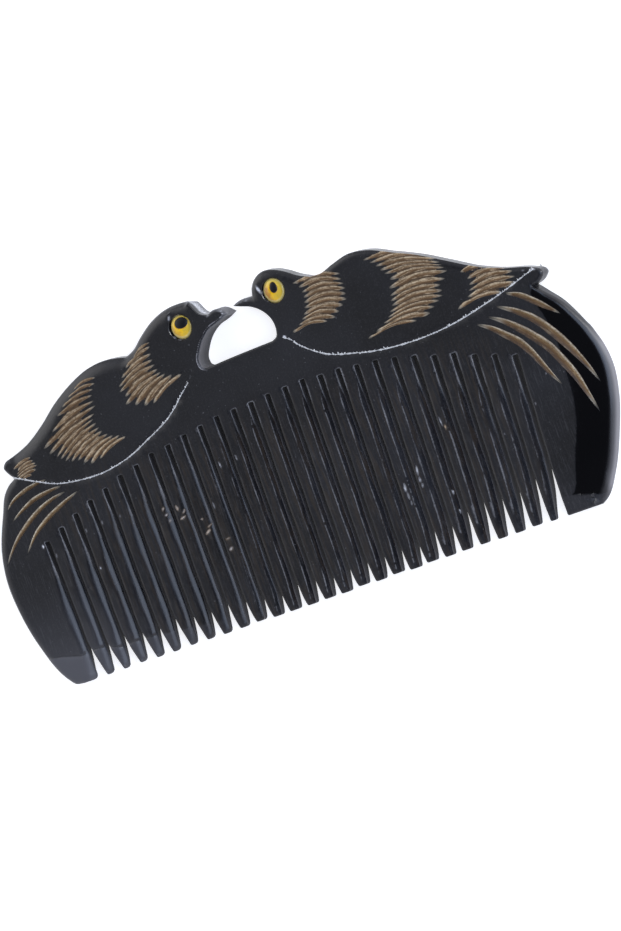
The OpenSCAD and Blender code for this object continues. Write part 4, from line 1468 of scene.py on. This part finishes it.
def keep_result(piece, tree, values):
    """Runs a node tree on a piece and keeps its result as a plain mesh."""
    modifier = piece.modifiers.new(tree.name, "NODES")
    modifier.node_group = tree
    for item in tree.interface.items_tree:
        if item.item_type == "SOCKET" and item.in_out == "INPUT" and item.name in values:
            modifier[item.identifier] = values[item.name]
    evaluated = piece.evaluated_get(bpy.context.evaluated_depsgraph_get())
    mesh = bpy.data.meshes.new_from_object(evaluated)
    piece.modifiers.remove(modifier)
    piece.data = mesh


# Add-on


def length_property(name, description, default):
    """A length that the sidebar shows with its unit."""
    return bpy.props.FloatProperty(name=name, description=description, default=default, unit="LENGTH")


class HornCombSizes(bpy.types.PropertyGroup):
    """Sizes of the comb's finish that a user may change."""

    feather_depth: length_property("Feather Depth", "Depth of the feather cuts", 0.0002)
    plume_depth: length_property("Plume Depth", "Depth of the plumes under each tail", 0.0004)
    chalk_width: length_property("Chalk Width", "Width of the chalk line under each bird", 0.0003)
    chalk_height: length_property("Chalk Height", "Height of the chalk in its groove", 0.00016)


def colour_property(name, description, default):
    """A colour that the sidebar shows as a swatch."""
    return bpy.props.FloatVectorProperty(
        name=name, description=description, default=default, subtype="COLOR", size=3, min=0, max=1
    )


class HornCombColours(bpy.types.PropertyGroup):
    """Colours of the comb's finishes."""

    horn: colour_property("Horn", "Black horn", (0.003, 0.003, 0.004))
    horn_cloud: colour_property("Horn Clouds", "Bluish clouds in the horn", (0.0055, 0.006, 0.009))
    horn_grain: colour_property("Horn Grain", "Brownish grain along the teeth", (0.015, 0.011, 0.0085))
    horn_dust: colour_property("Horn Dust", "Fine grey mottling of the horn", (0.024, 0.023, 0.026))
    horn_polish: colour_property("Polished Horn", "Deep black of the polished slope", (0.0025, 0.0025, 0.003))
    horn_sanded: colour_property("Sanded Horn", "Grey of the sanded tooth tips", (0.068, 0.068, 0.078))
    # Painted grey: the sheen on the right end's rim and the light on the sawn walls
    horn_painted_light: colour_property("Horn Rim", "Grey of the soft rim at the right end", (0.2, 0.193, 0.203))
    horn_scratch: colour_property("Horn Scratches", "Fine pale scratches and specks", (0.11, 0.11, 0.12))
    # Painted highlight along a cut's upper rim, and its pale fibre lines
    cut_rim: colour_property("Cut Rim", "Palest line along a feather cut's upper rim", (0.52, 0.41, 0.27))
    # Painted lit upper side of a feather cut, and pale bared horn in the brown chips
    cut_pale: colour_property("Pale Cut", "Upper side of a feather cut", (0.34, 0.235, 0.135))
    cut_tan: colour_property("Tan Cut", "Middle of a feather cut", (0.2, 0.118, 0.055))
    # Painted shade on a cut's lower side, and the brown of its fibres and patches
    cut_brown: colour_property("Brown Cut", "Lower side of a feather cut", (0.075, 0.038, 0.013))
    cut_dark: colour_property("Dark Cut", "Edges of a feather cut", (0.012, 0.008, 0.006))
    cut_tip: colour_property("Cut Tip", "Grey tips of the feather cuts", (0.3, 0.28, 0.23))
    # Painted highlight along a plume's upper rim
    plume_rim: colour_property("Plume Rim", "Cream line along a plume's upper rim", (0.55, 0.485, 0.375))
    # Painted lit upper side of a plume
    plume_pale: colour_property("Pale Plume", "Upper side of a plume", (0.33, 0.235, 0.125))
    plume_tan: colour_property("Tan Plume", "Middle of a plume", (0.185, 0.115, 0.05))
    chalk: colour_property("Chalk", "Chalk lines under the birds", (0.62, 0.62, 0.62))
    chalk_shade: colour_property("Chalk Shade", "Darker grains in the chalk", (0.3, 0.3, 0.31))
    # Painted light on one side of the eyes
    eye_lemon: colour_property("Eye Lemon", "Palest yellow of the inlaid eyes", (0.8, 0.6, 0.1))
    eye_olive: colour_property("Eye Olive", "Greenish yellow of the inlaid eyes", (0.55, 0.38, 0.04))
    eye_yellow: colour_property("Eye Yellow", "Yellow of the inlaid eyes", (0.78, 0.47, 0.01))
    # Painted shade on one side of the eyes and round the pupils
    eye_amber: colour_property("Eye Amber", "Deeper side of the inlaid eyes", (0.42, 0.18, 0.008))
    eye_rim: colour_property("Eye Rim", "Cream rim of the inlaid eyes", (0.66, 0.54, 0.2))
    pupil: colour_property("Pupil", "Black of the pupils", (0.006, 0.006, 0.007))
    floor: colour_property("Floor", "Floor under the comb", (0.66, 0.66, 0.67))


class HORNCOMB_OT_plate(bpy.types.Operator):
    """Carves the plate with its teeth, birds and feather cuts"""

    bl_idname = "horncomb.plate"
    bl_label = "Plate and Teeth"

    def execute(self, context):
        sizes, colours = context.scene.horncomb_sizes, context.scene.horncomb_colours
        cuts = plate_cuts(sizes)
        places, triangles, vertices, faces, look, nicks_and_glints, source = build_plate(cuts)
        makers = (horn_material, feather_material, plume_material, sawn_material)
        piece = new_piece("horn_plate", vertices, faces, [make(colours) for make in makers])
        mesh = piece.data
        owner = cut_of_triangles(places, triangles, cuts)
        finishes = finish_numbers(vertices, faces, cuts, owner)
        mesh.polygons.foreach_set("material_index", finishes)
        map_cuts(mesh, places, triangles, cuts, owner)
        store_wear(mesh, places, look, nicks_and_glints, source)
        shade(mesh, 38)
        finishes[2 * len(triangles):] = WALL
        sharpen(mesh, finishes)
        mesh.update()
        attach(piece, "root")
        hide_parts("comb")
        return {"FINISHED"}


class HORNCOMB_OT_chalk(bpy.types.Operator):
    """Rubs a ragged chalk line into the groove under each bird"""

    bl_idname = "horncomb.chalk"
    bl_label = "Chalk Lines"

    def execute(self, context):
        sizes, colours = context.scene.horncomb_sizes, context.scene.horncomb_colours
        tree = chalk_tree(chalk_material(colours))
        for name, route in (("left_chalk_line", LEFT_BELLY), ("right_chalk_line", RIGHT_BELLY)):
            plan = smooth_curve(route, 0.4, True)
            front = front_height(plan) - 0.05
            back = profile(BACK_PROFILE, plan[:, 1]) + 0.05
            vertices = np.concatenate([np.column_stack([plan, front]), np.column_stack([plan, back])])
            size = len(plan)
            edges = [(first + i, first + i + 1) for first in (0, size) for i in range(size - 1)]
            piece = new_piece(name, vertices, [], edges=edges)
            keep_result(piece, tree, {"Width": sizes.chalk_width, "Height": sizes.chalk_height})
            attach(piece, "root")
        return {"FINISHED"}


class HORNCOMB_OT_eyes(bpy.types.Operator):
    """Sets the yellow eyes with their black pupils"""

    bl_idname = "horncomb.eyes"
    bl_label = "Inlaid Eyes"

    def execute(self, context):
        colours = context.scene.horncomb_colours
        yellow, black = iris_material(colours), pupil_material(colours)
        # Side, socket, the iris' offset and spread, the pupil's offset and its shape, then the ways that
        # the painted shade and the painted light grow
        rows = [
            ("left", LEFT_EYE, (0.02, -0.03), (0.97, 1.04), (0.38, 0.83), (3.05, 2.25, 0), (-0.2, -0.12),
             (-0.18, 0.1)),
            ("right", RIGHT_EYE, (-0.05, -0.01), (1, 1.08), (0.3, 0.5), (1.6, 1.95, 0.3), (-0.42, -0.12),
             (0.12, 0.42)),
        ]
        for side, socket, moved, spread, offset, shape, shade_grows, light_grows in rows:
            middle = (socket[0] + moved[0], socket[1] + moved[1])
            pupil_middle = (middle[0] + offset[0], middle[1] + offset[1])
            vertices, faces = eye_ring(np.array(middle), pupil_middle, shape, spread)
            iris = new_piece(side + "_iris", vertices, faces, [yellow])
            # The painted shade grows one way across the iris
            amber = np.clip((vertices[:, :2] - middle) @ shade_grows + 0.2, 0, 1)
            store(iris.data, "amber", amber)
            # The rings run from the pupil to the rim on the front, then back again
            shares = np.array(RING_SHARES + RING_SHARES[::-1]).repeat(IRIS_POINTS)
            # The painted light grows another way, fading towards the pupil
            pale = np.clip((vertices[:, :2] - middle) @ light_grows - 0.25, 0, 1) * np.clip(shares * 4, 0, 1)
            store(iris.data, "pale", pale)
            store(iris.data, "border", shares)
            vertices, faces = eye_plug(pupil_middle, np.array(middle), shape)
            pupil = new_piece(side + "_pupil", vertices, faces, [black])
            for piece, node, slot in ((iris, "_eye_iris", "eye_yellow"), (pupil, "_eye_pupil", "eye_black")):
                shade(piece.data, 50)
                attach(piece, "root")
                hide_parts(side + node)
        return {"FINISHED"}


def area_light(name, place, target, size, power, colour=(1, 1, 1)):
    """A soft square light that points at a target."""
    light = bpy.data.lights.new(name, "AREA")
    light.shape = "RECTANGLE"
    light.size, light.size_y = size
    light.energy = power
    light.color = colour
    lamp = bpy.data.objects.new(name, light)
    lamp.location = place
    lamp.rotation_euler = (Vector(target) - Vector(place)).to_track_quat("-Z", "Y").to_euler()
    bpy.context.scene.collection.objects.link(lamp)


def lay_floor(scene):
    """A wide round floor under the comb."""
    radii = (0.3, 1, 3, 6)
    vertices = [(0, 0, 0)]
    for radius in radii:
        turns = full_turn(FLOOR_POINTS)
        vertices += [(radius * math.cos(turn), radius * math.sin(turn), 0) for turn in turns]
    faces = [(0, 1 + k, 1 + (k + 1) % FLOOR_POINTS) for k in range(FLOOR_POINTS)]
    for i in range(len(radii) - 1):
        faces += ring_faces(1 + i * FLOOR_POINTS, 1 + (i + 1) * FLOOR_POINTS, FLOOR_POINTS)
    mesh = bpy.data.meshes.new("floor")
    mesh.from_pydata(vertices, [], faces)
    mesh.materials.append(floor_material(scene.horncomb_colours))
    floor = bpy.data.objects.new("floor", mesh)
    scene.collection.objects.link(floor)


def light_room(scene):
    """A soft pale room with a dark camera stand overhead and a brighter wall behind the birds' left side."""
    world = bpy.data.worlds.new("soft_room")
    world.use_nodes = True
    tree = world.node_tree
    tree.nodes.clear()
    place = grow(tree, "ShaderNodeTexCoord").outputs["Generated"]
    height = grow(tree, "ShaderNodeSeparateXYZ", {0: place}).outputs[2]
    stops = [(0.0, (0.93, 0.95, 1)), (0.5, (0.85, 0.87, 0.95)), (0.77, (0.71, 0.74, 0.83))]
    sky = ramp(tree, height, stops)
    patches = [
        ((-0.08, 0.03, 0.996), [(0.74, (0,)), (0.86, (0.55,)), (0.93, (0.97,))], (0.01, 0.01, 0.01)),
        ((-0.754, 0.49, 0.438), [(0.848, (0,)), (0.951, (1,))], (2.2, 2.2, 2.25)),
    ]
    for direction, stops, shade in patches:
        inputs = {0: place, 1: direction}
        nearness = grow(tree, "ShaderNodeVectorMath", inputs, operation="DOT_PRODUCT").outputs["Value"]
        sky = blend_colours(tree, ramp(tree, nearness, stops), sky, shade)
    background = grow(tree, "ShaderNodeBackground", {"Color": sky, "Strength": 0.92})
    grow(tree, "ShaderNodeOutputWorld", {0: background.outputs[0]})
    scene.world = world
    scene.view_settings.view_transform = "Standard"
    area_light("right_window", (0.95, 0, 1.15), (0, 0, 0), (1.2, 1.2), 11, (0.74, 0.9, 1.22))
    area_light("shoulder_strip", (1.44, 0.51, 0.475), (0, 0, 0), (0.55, 0.15), 12)


def photo_camera(scene):
    """A far camera that sees the comb as the photo does, leaning to the right and turned."""
    tilt, roll = math.radians(CAMERA_TILT), math.radians(CAMERA_ROLL)
    back = Vector((math.sin(tilt), 0, math.cos(tilt)))
    across = Vector((math.cos(tilt), 0, -math.sin(tilt)))
    along = Vector((0, 1, 0))
    right = math.cos(roll) * across - math.sin(roll) * along
    up = math.sin(roll) * across + math.cos(roll) * along
    camera_data = bpy.data.cameras.new("photo_camera")
    camera_data.lens = camera_data.sensor_width * CAMERA_DISTANCE / VIEW_HEIGHT
    camera_data.clip_start = 0.05
    camera_data.clip_end = 50
    camera = bpy.data.objects.new("photo_camera", camera_data)
    matrix = Matrix((right, up, back)).transposed().to_4x4()
    matrix.translation = Vector(CAMERA_TARGET) + back * CAMERA_DISTANCE
    camera.matrix_world = matrix
    scene.collection.objects.link(camera)
    scene.camera = camera


class HORNCOMB_OT_stage(bpy.types.Operator):
    """Lays the pale floor, sets the soft lights and the camera"""

    bl_idname = "horncomb.stage"
    bl_label = "Stage"

    def execute(self, context):
        lay_floor(context.scene)
        light_room(context.scene)
        photo_camera(context.scene)
        return {"FINISHED"}


class HORNCOMB_PT_panel(bpy.types.Panel):
    """Lists the comb's pieces, sizes and colours"""

    bl_label = "Horn Comb"
    bl_idname = "HORNCOMB_PT_panel"
    bl_space_type = "VIEW_3D"
    bl_region_type = "UI"
    bl_category = "Horn Comb"

    def draw(self, context):
        layout = self.layout
        for group in (context.scene.horncomb_sizes, context.scene.horncomb_colours):
            box = layout.box()
            for name in group.bl_rna.properties.keys():
                if name not in ("rna_type", "name"):
                    box.prop(group, name)
        for operator in OPERATORS:
            layout.operator(operator.bl_idname)


OPERATORS = (HORNCOMB_OT_plate, HORNCOMB_OT_chalk, HORNCOMB_OT_eyes, HORNCOMB_OT_stage)
CLASSES = (HornCombSizes, HornCombColours) + OPERATORS + (HORNCOMB_PT_panel,)


def register():
    """Adds the classes and their settings to Blender."""
    for item in CLASSES:
        bpy.utils.register_class(item)
    bpy.types.Scene.horncomb_sizes = bpy.props.PointerProperty(type=HornCombSizes)
    bpy.types.Scene.horncomb_colours = bpy.props.PointerProperty(type=HornCombColours)


def unregister():
    """Takes the classes and their settings out of Blender."""
    del bpy.types.Scene.horncomb_sizes
    del bpy.types.Scene.horncomb_colours
    for item in reversed(CLASSES):
        bpy.utils.unregister_class(item)


def main():
    """Builds the comb and its stage."""
    register()
    bpy.ops.horncomb.stage()
    bpy.ops.horncomb.plate()
    bpy.ops.horncomb.chalk()
    bpy.ops.horncomb.eyes()


if __name__ == "__main__":
    main()
